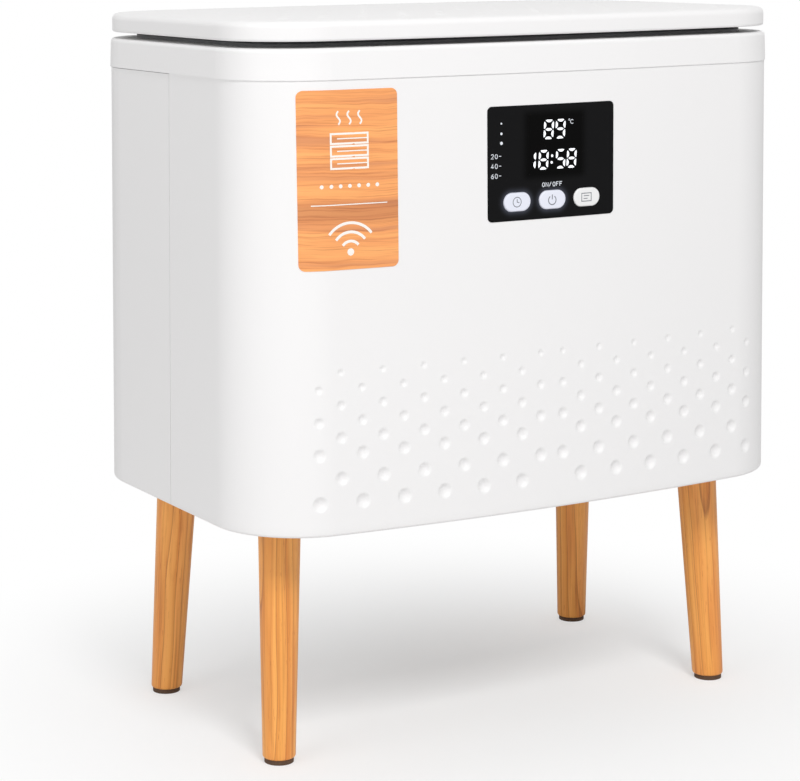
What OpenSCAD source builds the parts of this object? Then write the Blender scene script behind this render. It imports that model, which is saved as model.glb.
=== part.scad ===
// Towel warmer bucket: a rounded rectangular heated bin on four splayed wooden legs,
// with a flat lid hinged at the rear and a control panel in the front.
// Millimetres. The origin is on the floor under the middle of the whole, +Z is up
// and the panel faces -Y.

/* [Case] */
// Width of the case at its lower edge
case_w = 410; // [380:1:450]
// Depth of the case at its lower edge
case_d = 270; // [250:1:300]
// Radius of the four upright corners at the lower edge
corner_r = 58; // [45:1:70]
// How far the front and the back bulge out between the corners
bulge = 7; // [3:0.5:10]
// Height of the shells from lower edge to seam
shell_h = 275; // [250:1:320]
// Wall of the shells, the rim and the lid's skirt
wall = 3; // [2.4:0.1:4]
// Inward slope of the shells, in degrees
draft_deg = 0.86; // [0:0.02:1.2]
// Radius along the shells' lower edge
shell_edge_r = 2; // [1:0.5:2]
// Place of the upright seam between the shells, in front of the middle
seam_forward = 5; // [-20:1:20]
// Width of the seam lines between case parts
seam_gap = 0.4; // [0.2:0.1:0.8]

/* [Rim] */
// Height of the rim
rim_h = 18.6; // [14:0.1:26]
// How far the rim stands proud of the shells
rim_proud = 0.7; // [0:0.1:1.5]
// How far the rim draws in from its lower to its upper edge
rim_taper = 0.8; // [0:0.1:2]
// Radius along the rim's upper edge
rim_edge_r = 2.5; // [1:0.5:3]
// Depth of the tongue that enters the shells
tongue_h = 8; // [4:0.5:12]
// Thickness of the tongue and of the rim's deck
tongue_t = 2; // [1.5:0.1:3]

/* [Lid] */
// Height of the lid's edge
lid_h = 12; // [10:0.5:18]
// Gap between the rim and the lid
lid_gap = 4; // [3.6:0.1:6]
// How far the lid's outline lies inside the rim's
lid_inset = 1; // [0:0.1:3]
// Radius along the lid's upper edge
lid_edge_r = 4; // [2:0.5:5]
// Thickness of the lid's top
lid_top_t = 2.6; // [2:0.1:4]
// Thickness of the liner plate that closes the lid underneath
liner_t = 2.2; // [1.6:0.1:3]
// Depth of the gasket's groove in the liner
gasket_groove = 1; // [0.5:0.1:1.4]

/* [Chamber] */
// Overhang of the lid and the rim outside the dark collar
collar_inset = 17; // [12:0.5:22]
// Width of the collar's top, which also seats the gasket
collar_w = 9; // [8:0.5:12]
// Height of the collar above the rim
collar_h = 2.6; // [2:0.1:3]
// Depth of the collar's lip inside the tank
lip_h = 9; // [5:0.5:15]
// Thickness of the collar
collar_t = 1.6; // [1.2:0.1:2.2]
// Wall of the aluminium tank
tank_t = 1; // [0.8:0.1:1.2]
// Radius around the tank's floor
tank_floor_r = 10; // [6:0.5:14]
// Width of the tank's flange on the rim
tank_flange_w = 5; // [3:0.5:6]
// Room for the electrics between base plate and tank
base_room = 46; // [44:1:60]
// Thickness of the heating film
film_t = 0.8; // [0.5:0.1:1.2]
// Thickness of the insulation around the film
wool_t = 5; // [3:0.5:6]

/* [Dimples] */
// Spacing of the dimple columns
dimple_pitch = 14; // [12:0.5:16]
// Distance of the first column from the middle
dimple_first = 8.4; // [7:0.1:12]
// Columns on each side of the middle
dimple_columns = 12; // [6:1:12]
// Rows of dimples
dimple_rows = 8; // [4:1:8]
// Height of the lowest row above the shells' lower edge
dimple_z = 20.5; // [16:0.5:26]
// Row spacing of the three lowest rows
row_pitch_low = 15; // [12:0.5:18]
// Row spacing of the others
row_pitch_high = 10; // [8:0.5:12]
// Diameter of the lowest dimples
dimple_d_low = 8.8; // [6:0.2:11]
// Diameter of the highest dimples
dimple_d_high = 3.5; // [2.5:0.1:6]
// Depth of a dimple as a share of its diameter
dimple_depth = 0.14; // [0.08:0.01:0.18]
// Row spacing of the dimples on the lid
lid_row_pitch = 24; // [16:0.5:26]

/* [Panel] */
// Width of the control panel
panel_w = 94; // [80:1:110]
// Height of the control panel
panel_h = 70.5; // [62:0.5:84]
// Depth of the panel's middle below the shells' upper edge
panel_drop = 55; // [50:1:85]
// Corner radius of the panel
panel_r = 3; // [2:0.5:8]
// Thickness of the panel's window
window_t = 2.2; // [1.8:0.1:2.8]
// How far the window stands proud of the shell
window_proud = 0.2; // [0:0.1:0.6]
// Length of a button
button_w = 20; // [16:0.5:22]
// Height of a button
button_h = 12; // [9:0.5:14]
// Spacing of the buttons
button_pitch = 26; // [24:0.5:28]
// Height of the buttons' middle above the panel's lower edge
button_z = 11.5; // [9:0.5:14]
// How far a button stands proud of the window
button_proud = 0.9; // [0.6:0.1:1.4]
// Travel of a button
button_travel = 1; // [0.5:0.1:1.2]
// Depth of the housing behind the window
housing_depth = 11; // [10:0.5:12]

/* [Sticker] */
// Width of the wood print sticker
sticker_w = 63.5; // [50:0.5:66]
// Height of the sticker
sticker_h = 107; // [80:1:110]
// Place of the sticker's middle left of the case's middle
sticker_x = 141; // [125:1:142]
// Depth of the sticker's middle below the shells' upper edge
sticker_drop = 59; // [57:1:85]
// Corner radius of the sticker
sticker_r = 4; // [2:0.5:10]
// Thickness of the sticker
sticker_t = 0.25; // [0.2:0.05:0.5]

/* [Legs] */
// Height of the shells' lower edge above the floor
leg_h = 153; // [110:1:180]
// Radius of a leg at its foot
leg_foot_r = 10.5; // [9:0.5:13]
// Radius of a leg at its top
leg_top_r = 13.5; // [12:0.5:16]
// Distance of the feet's middles across
foot_span_x = 339; // [310:1:350]
// Distance of the feet's middles from front to back
foot_span_y = 164; // [140:1:175]
// Sine of the angle that a leg leans outwards
leg_lean_sine = 0.07584; // [0:0.00001:0.1]
// Cosine of the direction in which it leans, counted from the case's length
leg_way_cosine = 0.6; // [0.4:0.05:0.9]
// Height of the pad under a leg
pad_h = 3; // [2:0.5:5]
// Radius of the hanger bolt in a leg
leg_bolt_r = 4; // [3:0.5:5]
// Side of the steel plate over each leg
leg_plate_w = 44; // [40:1:48]

/* [Base] */
// Thickness of the base plate
base_t = 4; // [3:0.5:5]
// How far the base plate lies above the shells' lower edge
base_recess = 2; // [1:0.5:4]
// Radius of the screws
screw_r = 1.5; // [1.5:0.25:2]
// Radius of the screws' heads
screw_head_r = 3; // [2.75:0.25:3.25]
// Radius of the posts that hold the tank
post_r = 6; // [5:0.5:8]
// Radius of the cord that the gland takes
cord_r = 3.4; // [2.8:0.1:4]
// Height of the gland's middle above the shells' lower edge
gland_z = 26; // [24:1:40]

/* [Hinge] */
// Distance of the hinges' middles
hinge_span = 220; // [180:2:260]
// Distance of the hinge line behind the rim
hinge_back = 8; // [7.5:0.5:12]
// Radius of the hinge knuckles
knuckle_r = 4.6; // [4:0.1:5]
// Width of the knuckle on a lid arm
knuckle_w = 24; // [18:1:30]
// Radius of the hinge pins
pin_r = 2; // [1.5:0.25:2.5]
// Thickness of the bracket's ears and plate
ear_t = 3; // [2.5:0.5:4]
// Thickness of a lid arm
arm_t = 1.9; // [1.5:0.1:2.2]
// Length of an arm under the lid
arm_reach = 12; // [10:1:14]

/* [Fit] */
// Gap between fitted parts that don't move
fit = 0.2; // [0.1:0.05:0.3]
// Radial gap of the hinge pins in the knuckles
pin_gap = 0.05; // [0.03:0.01:0.08]
// Gap around the buttons
button_gap = 0.2; // [0.15:0.05:0.3]

/* [Hidden] */
eps = 0.01;
half_w = case_w / 2;
half_d = case_d / 2;
slope = tan(draft_deg);

// Levels above the floor
shell_z0 = leg_h;
shell_z1 = shell_z0 + shell_h;
rim_z0 = shell_z1 + seam_gap;
rim_z1 = rim_z0 + rim_h;
lid_z0 = rim_z1 + lid_gap;
lid_z1 = lid_z0 + lid_h;
base_z0 = shell_z0 + base_recess;
base_z1 = base_z0 + base_t;
tank_z0 = base_z1 + base_room;
collar_z1 = rim_z1 + collar_h;

// Offsets from the outline at the shells' lower edge, inwards negative
top_out = -shell_h * slope;
rim_out = top_out + rim_proud;
rim_top_out = rim_out - rim_taper;
lid_out = rim_top_out - lid_inset;
collar_out = rim_top_out - collar_inset;
tank_in = collar_out - collar_w;
tank_out = tank_in + tank_t;
film_out = tank_out + fit + film_t;
wool_out = film_out + wool_t;
base_out = -wall - fit - 0.1;
seam_y = -seam_forward;

// The front right corner's centre, and the front's arc that runs on from the corners
corner_c = [half_w - corner_r, corner_r + bulge - half_d];
front_r = (pow(corner_c.x, 2) + pow(corner_r + bulge, 2) - pow(corner_r, 2)) / (2 * bulge);
front_c = [0, front_r - half_d];
middle_x = corner_c.x + 0.2 * corner_r;
panel_z = shell_h - panel_drop;
sticker_z = shell_h - sticker_drop;
front_half = atan2(corner_c.x, front_c.y - corner_c.y);

// Draws its children, a section of offset and height, round the whole outline
module around() {
    for (m = [0, 1]) mirror([0, m, 0]) {
        middle() children();
        for (k = [0, 1]) mirror([k, 0, 0]) translate([corner_c.x, corner_c.y, 0]) mirror([0, 1, 0])
            rotate_extrude(angle = 90 - front_half, $fn = 96) translate([corner_r, 0]) children();
    }
    for (k = [0, 1]) mirror([k, 0, 0])
        translate([half_w, -corner_c.y, 0]) rotate([90, 0, 0]) linear_extrude(-2 * corner_c.y) children();
}

// The same along the front only, cut where the corners begin
module middle() {
    difference() {
        intersection() {
            translate(front_c) mirror([0, 1, 0]) rotate_extrude(angle = 180, $fn = 1440) translate([front_r, 0]) children();
            translate([-middle_x, -half_d - 5, -1]) cube([2 * middle_x, half_d, case_w * 2]);
        }
        corner_wedge();
        mirror([1, 0, 0]) corner_wedge();
    }
}
module corner_wedge() {
    translate([corner_c.x, corner_c.y, 0]) mirror([0, 1, 0])
        rotate_extrude(angle = 90 - front_half, $fn = 96) translate([0, -2]) square([case_w, 3 * case_w]);
}

// The outline's tangent points on the front right corner
function on_front(o) = front_c + (front_r + o) * [sin(front_half), -cos(front_half)];
function on_side(o) = [half_w + o, corner_c.y];

// A flat plate with the outline drawn in or out by o
module plate(o, z0, z1, grow = 25) {
    cut = (on_side(o) - on_front(o)) / norm(on_side(o) - on_front(o));
    p = on_front(o) - grow * cut;
    q = on_side(o) + grow * cut;
    translate([0, 0, z0]) linear_extrude(z1 - z0) {
        for (sx = [-1, 1], sy = [-1, 1]) translate([sx * corner_c.x, -sy * corner_c.y])
            circle(corner_r + o, $fn = 96);
        intersection() {
            translate(front_c) circle(front_r + o, $fn = 720);
            translate(-front_c) circle(front_r + o, $fn = 720);
            square([case_w + 2 * o, case_d], center = true);
            polygon([p, q, [q.x, -q.y], [p.x, -p.y], [-p.x, -p.y], [-q.x, -q.y], [-q.x, q.y], [-p.x, p.y]]);
        }
    }
}

// A flat slab that closes the ring of a tray; it stays inside the ring's band and its faces
// lie a hair inside the ring's
core_step = 0.02;
module core(o, z0, z1) {
    w = half_w + o;
    d = half_d - bulge / 2 + o;
    c = 0.59 * (corner_r + o) + bulge / 2;
    translate([0, 0, z0]) linear_extrude(z1 - z0)
        polygon([[w - c, -d], [w, c - d], [w, d - c], [w - c, d], [c - w, d], [-w, d - c], [-w, c - d], [c - w, -d]]);
}

// Place of the front face at x for the offset o, and the way it faces there
function corner_x(o) = on_front(o).x;
function front_y(x, o) = abs(x) < corner_x(o)
    ? front_c.y - sqrt(pow(front_r + o, 2) - x * x)
    : corner_c.y - sqrt(pow(corner_r + o, 2) - pow(abs(x) - corner_c.x, 2));
function front_turn(x, o) = abs(x) < corner_x(o)
    ? asin(x / (front_r + o))
    : sign(x) * asin((abs(x) - corner_c.x) / (corner_r + o));
function wall_out(z) = -(z - shell_z0) * slope;

// Section between two offsets that follows the shells' slope
module sloped(o1, o2, z0, z1) {
    polygon([[wall_out(z0) + o1, z0], [wall_out(z1) + o1, z1],
        [wall_out(z1) + o2, z1], [wall_out(z0) + o2, z0]]);
}

// Section of a wall whose outer side leans by s and whose end at z is rounded by r
function round_c(x, z, s, r, up) = let (zc = z - up * r) [x + s * (zc - z) - r * sqrt(1 + s * s), zc];
function arc(c, r, a0, a1, n = 5) =
    [for (i = [0:n]) let (a = a0 + (a1 - a0) * i / n) c + r * [cos(a), sin(a)]];

// A rounded rectangle
module rounded(w, h, r) {
    square([w - 2 * r, h], center = true);
    square([w, h - 2 * r], center = true);
    for (sx = [-1, 1], sy = [-1, 1]) translate([sx * (w / 2 - r), sy * (h / 2 - r)]) circle(r, $fn = 32);
}
module screw(length, r = screw_r, head = screw_head_r) {
    cylinder(h = length + eps, r = r, $fn = 24);
    translate([0, 0, length]) difference() {
        cylinder(h = 1.8, r = head, $fn = 32);
        translate([0, 0, 0.8]) for (a = [0, 90]) rotate(a) cube([head, 0.8, 2.4], center = true);
    }
}

// Front and rear shells
function dimple_row(i) = dimple_z + row_pitch_low * min(i, 2) + row_pitch_high * max(i - 2, 0);
function dimple_d(i) = dimple_d_low + (dimple_d_high - dimple_d_low) * i / (dimple_rows - 1);
function ball_r(d) = d * (0.25 + dimple_depth * dimple_depth) / (2 * dimple_depth);
module shell_section() {
    foot = round_c(0, shell_z0, -slope, shell_edge_r, -1);
    polygon(concat(arc(foot, shell_edge_r, -90, draft_deg, 4),
        [[top_out, shell_z1], [top_out - wall, shell_z1], [-wall, shell_z0]]));
}
module front_dimples() {
    for (i = [0:dimple_rows - 1], j = [0:dimple_columns - 1], m = [-1, 1]) if ((i + j) % 2 == 1) {
        x = m * (dimple_first + j * dimple_pitch);
        z = shell_z0 + dimple_row(i);
        o = wall_out(z);
        d = dimple_d(i);
        a = front_turn(x, o);
        out = ball_r(d) - dimple_depth * d;
        translate([x + out * sin(a), front_y(x, o) - out * cos(a), z]) sphere(ball_r(d), $fn = 40);
    }
}
boss_x = 100;
boss_r = 4.5;
boss_in = wall + boss_r + 2.5;
lug = 10;
lug_z = [shell_z0 + 60, shell_z1 - 40];
module shell_bosses(s) {
    for (m = [-1, 1]) {
        y = front_y(boss_x, -boss_in);
        translate([m * boss_x, s * y, base_z1]) difference() {
            union() {
                cylinder(h = 26, r = boss_r, $fn = 32);
                translate([-1, s > 0 ? -boss_in + wall * 0.8 : 0, 0]) cube([2, boss_in - wall * 0.8, 26]);
            }
            translate([0, 0, -1]) cylinder(h = 22, r = screw_r + 0.05, $fn = 24);
        }
        for (z = lug_z) {
            x = half_w + wall_out(z) - wall * 0.7 - lug;
            translate([m > 0 ? x : -x - lug, s > 0 ? seam_y - 6 - seam_gap / 2 : seam_y + seam_gap / 2, z - lug / 2])
                difference() {
                    cube([lug, 6, lug]);
                    translate([lug / 2, -1, lug / 2]) rotate([-90, 0, 0]) cylinder(h = 8, r = screw_r + 0.05, $fn = 24);
                }
        }
    }
}
// The panel's own levels: the shell's outer face at its middle, the board and the flange
panel_y = -half_d - wall_out(shell_z0 + panel_z);
board_y = panel_y + 7.5;
board_t = 1.6;
flange_y = panel_y - window_proud + window_t + 0.3;
flange_back = panel_y + wall + 5;
housing_wall = 1.6;
housing_back = panel_y + wall + housing_depth;
housing_w = panel_w + 14;
housing_h = panel_h + 10;
screw_x = housing_w / 2 - 3.3;
screw_dz = housing_h / 2 - 12;
button_dz = button_z - panel_h / 2;
module panel_place(x = 0, dz = 0) {
    translate([x, 0, shell_z0 + panel_z + dz]) children();
}
module skin(o1, o2, margin = 60) {
    z = shell_z0 + panel_z;
    middle() sloped(o1, o2, z - margin, z + margin);
}
module along_y(y0, y1) {
    translate([0, y0, 0]) rotate([-90, 0, 0]) linear_extrude(y1 - y0) children();
}
module front_shell() color("white") {
    difference() {
        union() {
            difference() {
                around() shell_section();
                translate([-half_w - 5, seam_y - seam_gap / 2, shell_z0 - 5]) cube([case_w + 10, case_d, shell_h + 10]);
            }
            shell_bosses(1);
            for (m = [-1, 1], n = [-1, 1]) panel_place(m * screw_x, n * screw_dz) translate([0, panel_y + 1.8, 0])
                rotate([-90, 0, 0]) cylinder(h = flange_back - panel_y - 1.8, r = 3.2, $fn = 32);
        }
        front_dimples();
        panel_place() along_y(-half_d - 5, panel_y + wall + 2) rounded(panel_w + 2 * fit, panel_h + 2 * fit, panel_r + fit);
        for (m = [-1, 1], n = [-1, 1]) panel_place(m * screw_x, n * screw_dz) translate([0, flange_back - 5, 0])
            rotate([-90, 0, 0]) cylinder(h = 10, r = screw_r, $fn = 24);
    }
}
module rear_shell() color("white") {
    difference() {
        union() {
            difference() {
                around() shell_section();
                translate([-half_w - 5, seam_y + seam_gap / 2 - case_d, shell_z0 - 5])
                    cube([case_w + 10, case_d, shell_h + 10]);
            }
            shell_bosses(-1);
        }
        translate([0, half_d - 20, shell_z0 + gland_z]) rotate([-90, 0, 0])
            cylinder(h = 40, r = gland_r + fit / 2, $fn = 48);
        for (m = [-1, 1], i = [2:7], j = [0:3]) translate([m * i * 10, half_d - 10, shell_z0 + 44 + 8 * j])
            rotate([-90, 0, 0]) cylinder(h = 20, r = 1.6, $fn = 16);
    }
}
module shell_screws() color("silver") {
    for (m = [-1, 1], z = lug_z) {
        x = half_w + wall_out(z) - wall * 0.7 - lug / 2;
        translate([m * x, seam_y - 5, z]) rotate([-90, 0, 0]) screw(5 + seam_gap / 2 + 6, head = 2.6);
    }
}

// Rim, collar and tank
deck_in = tank_out + 0.4;
rim_lean = -rim_taper / rim_h;
module rim_section() {
    inner = rim_out - wall;
    tongue = top_out - wall - fit;
    polygon(concat(
        arc(round_c(rim_top_out, rim_z1, rim_lean, rim_edge_r, 1), rim_edge_r, -atan(rim_lean), 90, 6),
        [[deck_in, rim_z1], [deck_in, rim_z1 - tongue_t], [inner, rim_z1 - tongue_t],
        [inner, rim_z0 + tongue_t], [tongue - tongue_t, rim_z0 + tongue_t],
        [tongue - tongue_t, rim_z0 - tongue_h], [tongue, rim_z0 - tongue_h], [tongue, rim_z0],
        [rim_out, rim_z0]]));
}
module top_rim() color("white") {
    difference() {
        union() {
            around() rim_section();
            for (m = [-1, 1]) translate([m * hinge_span / 2 - pad_w / 2, pad_y - 6, rim_z0 + 1])
                cube([pad_w, 6, rim_h - rim_edge_r - 1.5]);
        }
        for (m = [-1, 1], n = [-1, 1]) translate([m * hinge_span / 2 + n * bracket_screw_x, pad_y - 10, bracket_screw_z])
            rotate([-90, 0, 0]) cylinder(h = 20, r = screw_r, $fn = 24);
    }
}
module tank_collar() color("dimgray") {
    lip = tank_in - fit;
    under = rim_z1 + tank_t + 0.1;
    around() {
        polygon([[collar_out, rim_z1], [collar_out, collar_z1 - 0.6], [collar_out - 0.6, collar_z1],
            [lip - collar_t + 0.6, collar_z1], [lip - collar_t, collar_z1 - 0.6], [lip - collar_t, rim_z1 - lip_h],
            [lip, rim_z1 - lip_h], [lip, under], [collar_out - collar_t, under], [collar_out - collar_t, rim_z1]]);
    }
}
floor_band = 14;
module tank_section(c) {
    flange = tank_out + tank_flange_w;
    polygon(concat([[tank_in, c.y], [tank_in, rim_z1 + tank_t], [flange, rim_z1 + tank_t], [flange, rim_z1],
        [tank_out, rim_z1], [tank_out, c.y]], arc(c, tank_floor_r, 0, -90, 6),
        [[c.x - floor_band, tank_z0], [c.x - floor_band, tank_z0 + tank_t]], arc(c, tank_floor_r - tank_t, -90, 0, 6)));
}
module inner_tank() color("gainsboro") {
    c = [tank_out - tank_floor_r, tank_z0 + tank_floor_r];
    around() tank_section(c);
    core(c.x - floor_band / 2, tank_z0 + core_step, tank_z0 + tank_t - core_step);
}
module heating_film() color("orange") {
    around() translate([film_out - film_t, tank_z0 + 24]) square([film_t, tank_h - 60]);
}
module insulation_wrap() color("lightgray") {
    around() translate([film_out + 0.1, tank_z0 + 8]) square([wool_t - 0.1, tank_h - 14 - tongue_t]);
}
tank_h = rim_z1 - tank_z0;

// Base plate, posts, screws and what hangs below the tank
post_x = 110;
post_y = 55;
heater_w = 190;
heater_d = 96;
heater_t = 3;
board_w = 130;
board_d = 76;
board_mid_y = 50;
board_z = base_z1 + 10;
module base_plate() color("whitesmoke") {
    difference() {
        union() {
            plate(base_out, base_z0, base_z1);
            for (sx = [-1, 1], sy = [-1, 1]) {
                translate([sx * post_x, sy * post_y, base_z1 - eps]) cylinder(h = tank_z0 - base_z1 + eps, r = post_r, $fn = 48);
                translate([sx * (board_w / 2 - 6), board_mid_y + sy * (board_d / 2 - 6), base_z1 - eps])
                    cylinder(h = board_z - base_z1 + eps, r = 3.2, $fn = 32);
            }
        }
        for (sx = [-1, 1], sy = [-1, 1]) {
            leg_place(sx, sy) cylinder(h = leg_h * 1.3, r = leg_bolt_r + 1.5, $fn = 32);
            translate([sx * boss_x, sy * boss_y, base_z0 - 1]) cylinder(h = base_t + 2, r = screw_r + fit, $fn = 24);
            translate([sx * (board_w / 2 - 6), board_mid_y + sy * (board_d / 2 - 6), base_z1 + 2])
                cylinder(h = 20, r = screw_r, $fn = 24);
        }
        for (i = [-5:5]) translate([i * 14 - 2.5, -95, base_z0 - 1]) cube([5, 45, base_t + 2]);
        for (sx = [-1, 1], sy = [-1, 1], n = [-1, 1], k = [-1, 1])
            translate(plate_screw(sx, sy, n, k) + [0, 0, base_z0 + 1]) cylinder(h = base_t, r = screw_r, $fn = 24);
    }
}
boss_y = -front_y(boss_x, -boss_in);
module base_screws() color("silver") {
    for (sx = [-1, 1], sy = [-1, 1]) translate([sx * boss_x, sy * boss_y, base_z0 + base_t + 10])
        rotate([180, 0, 0]) screw(base_t + 10, head = 2.75);
}
module base_heater() color("silver") {
    translate([-heater_w / 2, -heater_d / 2, tank_z0 - heater_t]) cube([heater_w, heater_d, heater_t]);
}
module thermal_cutoff() color("black") {
    z = tank_z0 - heater_t;
    translate([-50, -20, z - 8]) cylinder(h = 8, r = 8, $fn = 48);
    for (m = [-1, 1]) translate([-50 + m * 10.5 - 3.5, -23, z - 1]) cube([7, 6, 1]);
}
module temperature_sensor() color("darkslategray") {
    z = tank_z0 - heater_t;
    translate([20, -20, z - 3.5]) rotate([0, 90, 0]) cylinder(h = 14, r = 2.5, $fn = 32);
    translate([20, -22.5, z - 3.5]) cube([14, 5, 3.5]);
}

// Legs and what fastens them
leg_lean = asin(leg_lean_sine);
leg_way = acos(leg_way_cosine);
leg_azimuth = 180 + leg_way;
module leg_place(sx, sy) {
    translate([sx * foot_span_x / 2, sy * foot_span_y / 2, 0])
        mirror([sx < 0 ? 1 : 0, 0, 0]) mirror([0, sy < 0 ? 1 : 0, 0])
            rotate([0, leg_lean, leg_azimuth]) children();
}
function leg_at(sx, sy, z) = [sx * (foot_span_x / 2 - z * tan(leg_lean) * cos(leg_way)),
    sy * (foot_span_y / 2 - z * tan(leg_lean) * sin(leg_way)), 0];
function plate_screw(sx, sy, n, k) = leg_at(sx, sy, base_z1) + (leg_plate_w / 2 - 5) * [n, k, 0];
module leg(sx, sy) color("peru") {
    length = base_z0 / cos(leg_lean);
    intersection() {
        leg_place(sx, sy) difference() {
            translate([0, 0, -20]) cylinder(h = length + 40, $fn = 96,
                r1 = leg_foot_r - 20 * (leg_top_r - leg_foot_r) / length,
                r2 = leg_top_r + 20 * (leg_top_r - leg_foot_r) / length);
            translate([0, 0, length - 30]) cylinder(h = 60, r = leg_bolt_r, $fn = 32);
        }
        translate([-half_w, -half_d, pad_h]) cube([case_w, case_d, base_z0 - pad_h]);
    }
}
module leg_front_left() leg(-1, -1);
module leg_front_right() leg(1, -1);
module leg_rear_left() leg(-1, 1);
module leg_rear_right() leg(1, 1);
module foot_pads() color("dimgray") {
    for (sx = [-1, 1], sy = [-1, 1]) translate([sx * foot_span_x / 2, sy * foot_span_y / 2, 0])
        cylinder(h = pad_h, r = leg_foot_r - 1.2, $fn = 64);
}
module leg_bolts() color("silver") {
    length = base_z0 / cos(leg_lean);
    for (sx = [-1, 1], sy = [-1, 1]) leg_place(sx, sy) translate([0, 0, length - 30])
        cylinder(h = 30 + base_t + 12, r = leg_bolt_r, $fn = 32);
}
module leg_plates() color("silver") {
    for (sx = [-1, 1], sy = [-1, 1]) difference() {
        union() {
            translate(leg_at(sx, sy, base_z1) + [-leg_plate_w / 2, -leg_plate_w / 2, base_z1])
                cube([leg_plate_w, leg_plate_w, 2.5]);
            intersection() {
                leg_place(sx, sy) cylinder(h = leg_h * 1.3, r = leg_bolt_r + 3, $fn = 32);
                translate([-half_w, -half_d, base_z1 + 1]) cube([case_w, case_d, 9]);
            }
        }
        leg_place(sx, sy) cylinder(h = leg_h * 1.4, r = leg_bolt_r, $fn = 32);
        for (n = [-1, 1], k = [-1, 1]) translate(plate_screw(sx, sy, n, k) + [0, 0, base_z1 - 1])
            cylinder(h = 5, r = screw_r + fit, $fn = 24);
    }
}
module leg_plate_screws() color("gray") {
    for (sx = [-1, 1], sy = [-1, 1], n = [-1, 1], k = [-1, 1])
        translate(plate_screw(sx, sy, n, k) + [0, 0, base_z0 + 1]) screw(base_t - 1 + 2.5, head = 2.75);
}

// Lid
lid_screws_at = [for (m = [-1, 1], n = [-1, 1]) each [[m * 70, n * (half_d + tank_in - 14)], [m * (half_w + tank_in - 14), n * 40]]];
boss_top = lid_z1 - lid_top_t;
liner_z1 = lid_z0 + liner_t;
lid_band = 26;
module lid_section() {
    polygon(concat(arc([lid_out - 1.5, lid_z0 + 1.5], 1.5, -90, 0, 3),
        arc([lid_out - lid_edge_r, lid_z1 - lid_edge_r], lid_edge_r, 0, 90, 6),
        [[lid_out - lid_band, lid_z1], [lid_out - lid_band, boss_top], [lid_out - wall, boss_top], [lid_out - wall, lid_z0]]));
}
module lid_cover() color("white") {
    difference() {
        union() {
            around() lid_section();
            core(lid_out - lid_band / 2, boss_top + core_step, lid_z1 - core_step);
            for (p = lid_screws_at) translate([p.x, p.y, liner_z1]) cylinder(h = boss_top - liner_z1 + 1, r = 4, $fn = 32);
            for (m = [-1, 1], n = [-1, 1]) translate([m * hinge_span / 2 + n * arm_screw_x, arm_screw_y, liner_z1])
                cylinder(h = boss_top - liner_z1 + 1, r = 3.4, $fn = 32);
        }
        for (p = lid_screws_at) translate([p.x, p.y, lid_z0]) cylinder(h = lid_h - lid_top_t, r = screw_r, $fn = 24);
        for (m = [-1, 1], n = [-1, 1]) translate([m * hinge_span / 2 + n * arm_screw_x, arm_screw_y, lid_z0])
            cylinder(h = lid_h - lid_top_t, r = screw_r, $fn = 24);
        for (i = [0:dimple_rows - 1], j = [0:dimple_columns - 1], m = [-1, 1]) if ((i + j) % 2 == 1) {
            d = dimple_d(i);
            translate([m * (dimple_first + j * dimple_pitch), (i - (dimple_rows - 1) / 2) * lid_row_pitch,
                lid_z1 + ball_r(d) - dimple_depth * d]) sphere(ball_r(d), $fn = 40);
        }
    }
}
module lid_liner() color("white") {
    difference() {
        plate(lid_out - wall - fit, lid_z0, liner_z1);
        around() translate([tank_in, lid_z0 - 1]) square([collar_w, 1 + gasket_groove]);
        for (p = lid_screws_at) translate([p.x, p.y, lid_z0 - 1]) cylinder(h = liner_t + 2, r = screw_r + fit, $fn = 24);
        for (m = [-1, 1], n = [-1, 1]) translate([m * hinge_span / 2 + n * arm_screw_x, arm_screw_y, lid_z0 - 1])
            cylinder(h = liner_t + 2, r = screw_r + fit, $fn = 24);
    }
}
module lid_insulation() color("lightgray") {
    difference() {
        plate(tank_in - 6, liner_z1 + fit, boss_top - fit);
        for (p = lid_screws_at) translate([p.x, p.y, lid_z0]) cylinder(h = lid_h, r = 5, $fn = 32);
    }
}
module lid_gasket() color("dimgray") {
    around() translate([tank_in + fit, collar_z1 + 0.1])
        square([collar_w - 2 * fit, lid_z0 + gasket_groove - collar_z1 - 0.1]);
}
module lid_screws() color("silver") {
    for (p = lid_screws_at) translate([p.x, p.y, boss_top - 1]) rotate([180, 0, 0]) screw(boss_top - 1 - lid_z0, head = 2.75);
}

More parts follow.
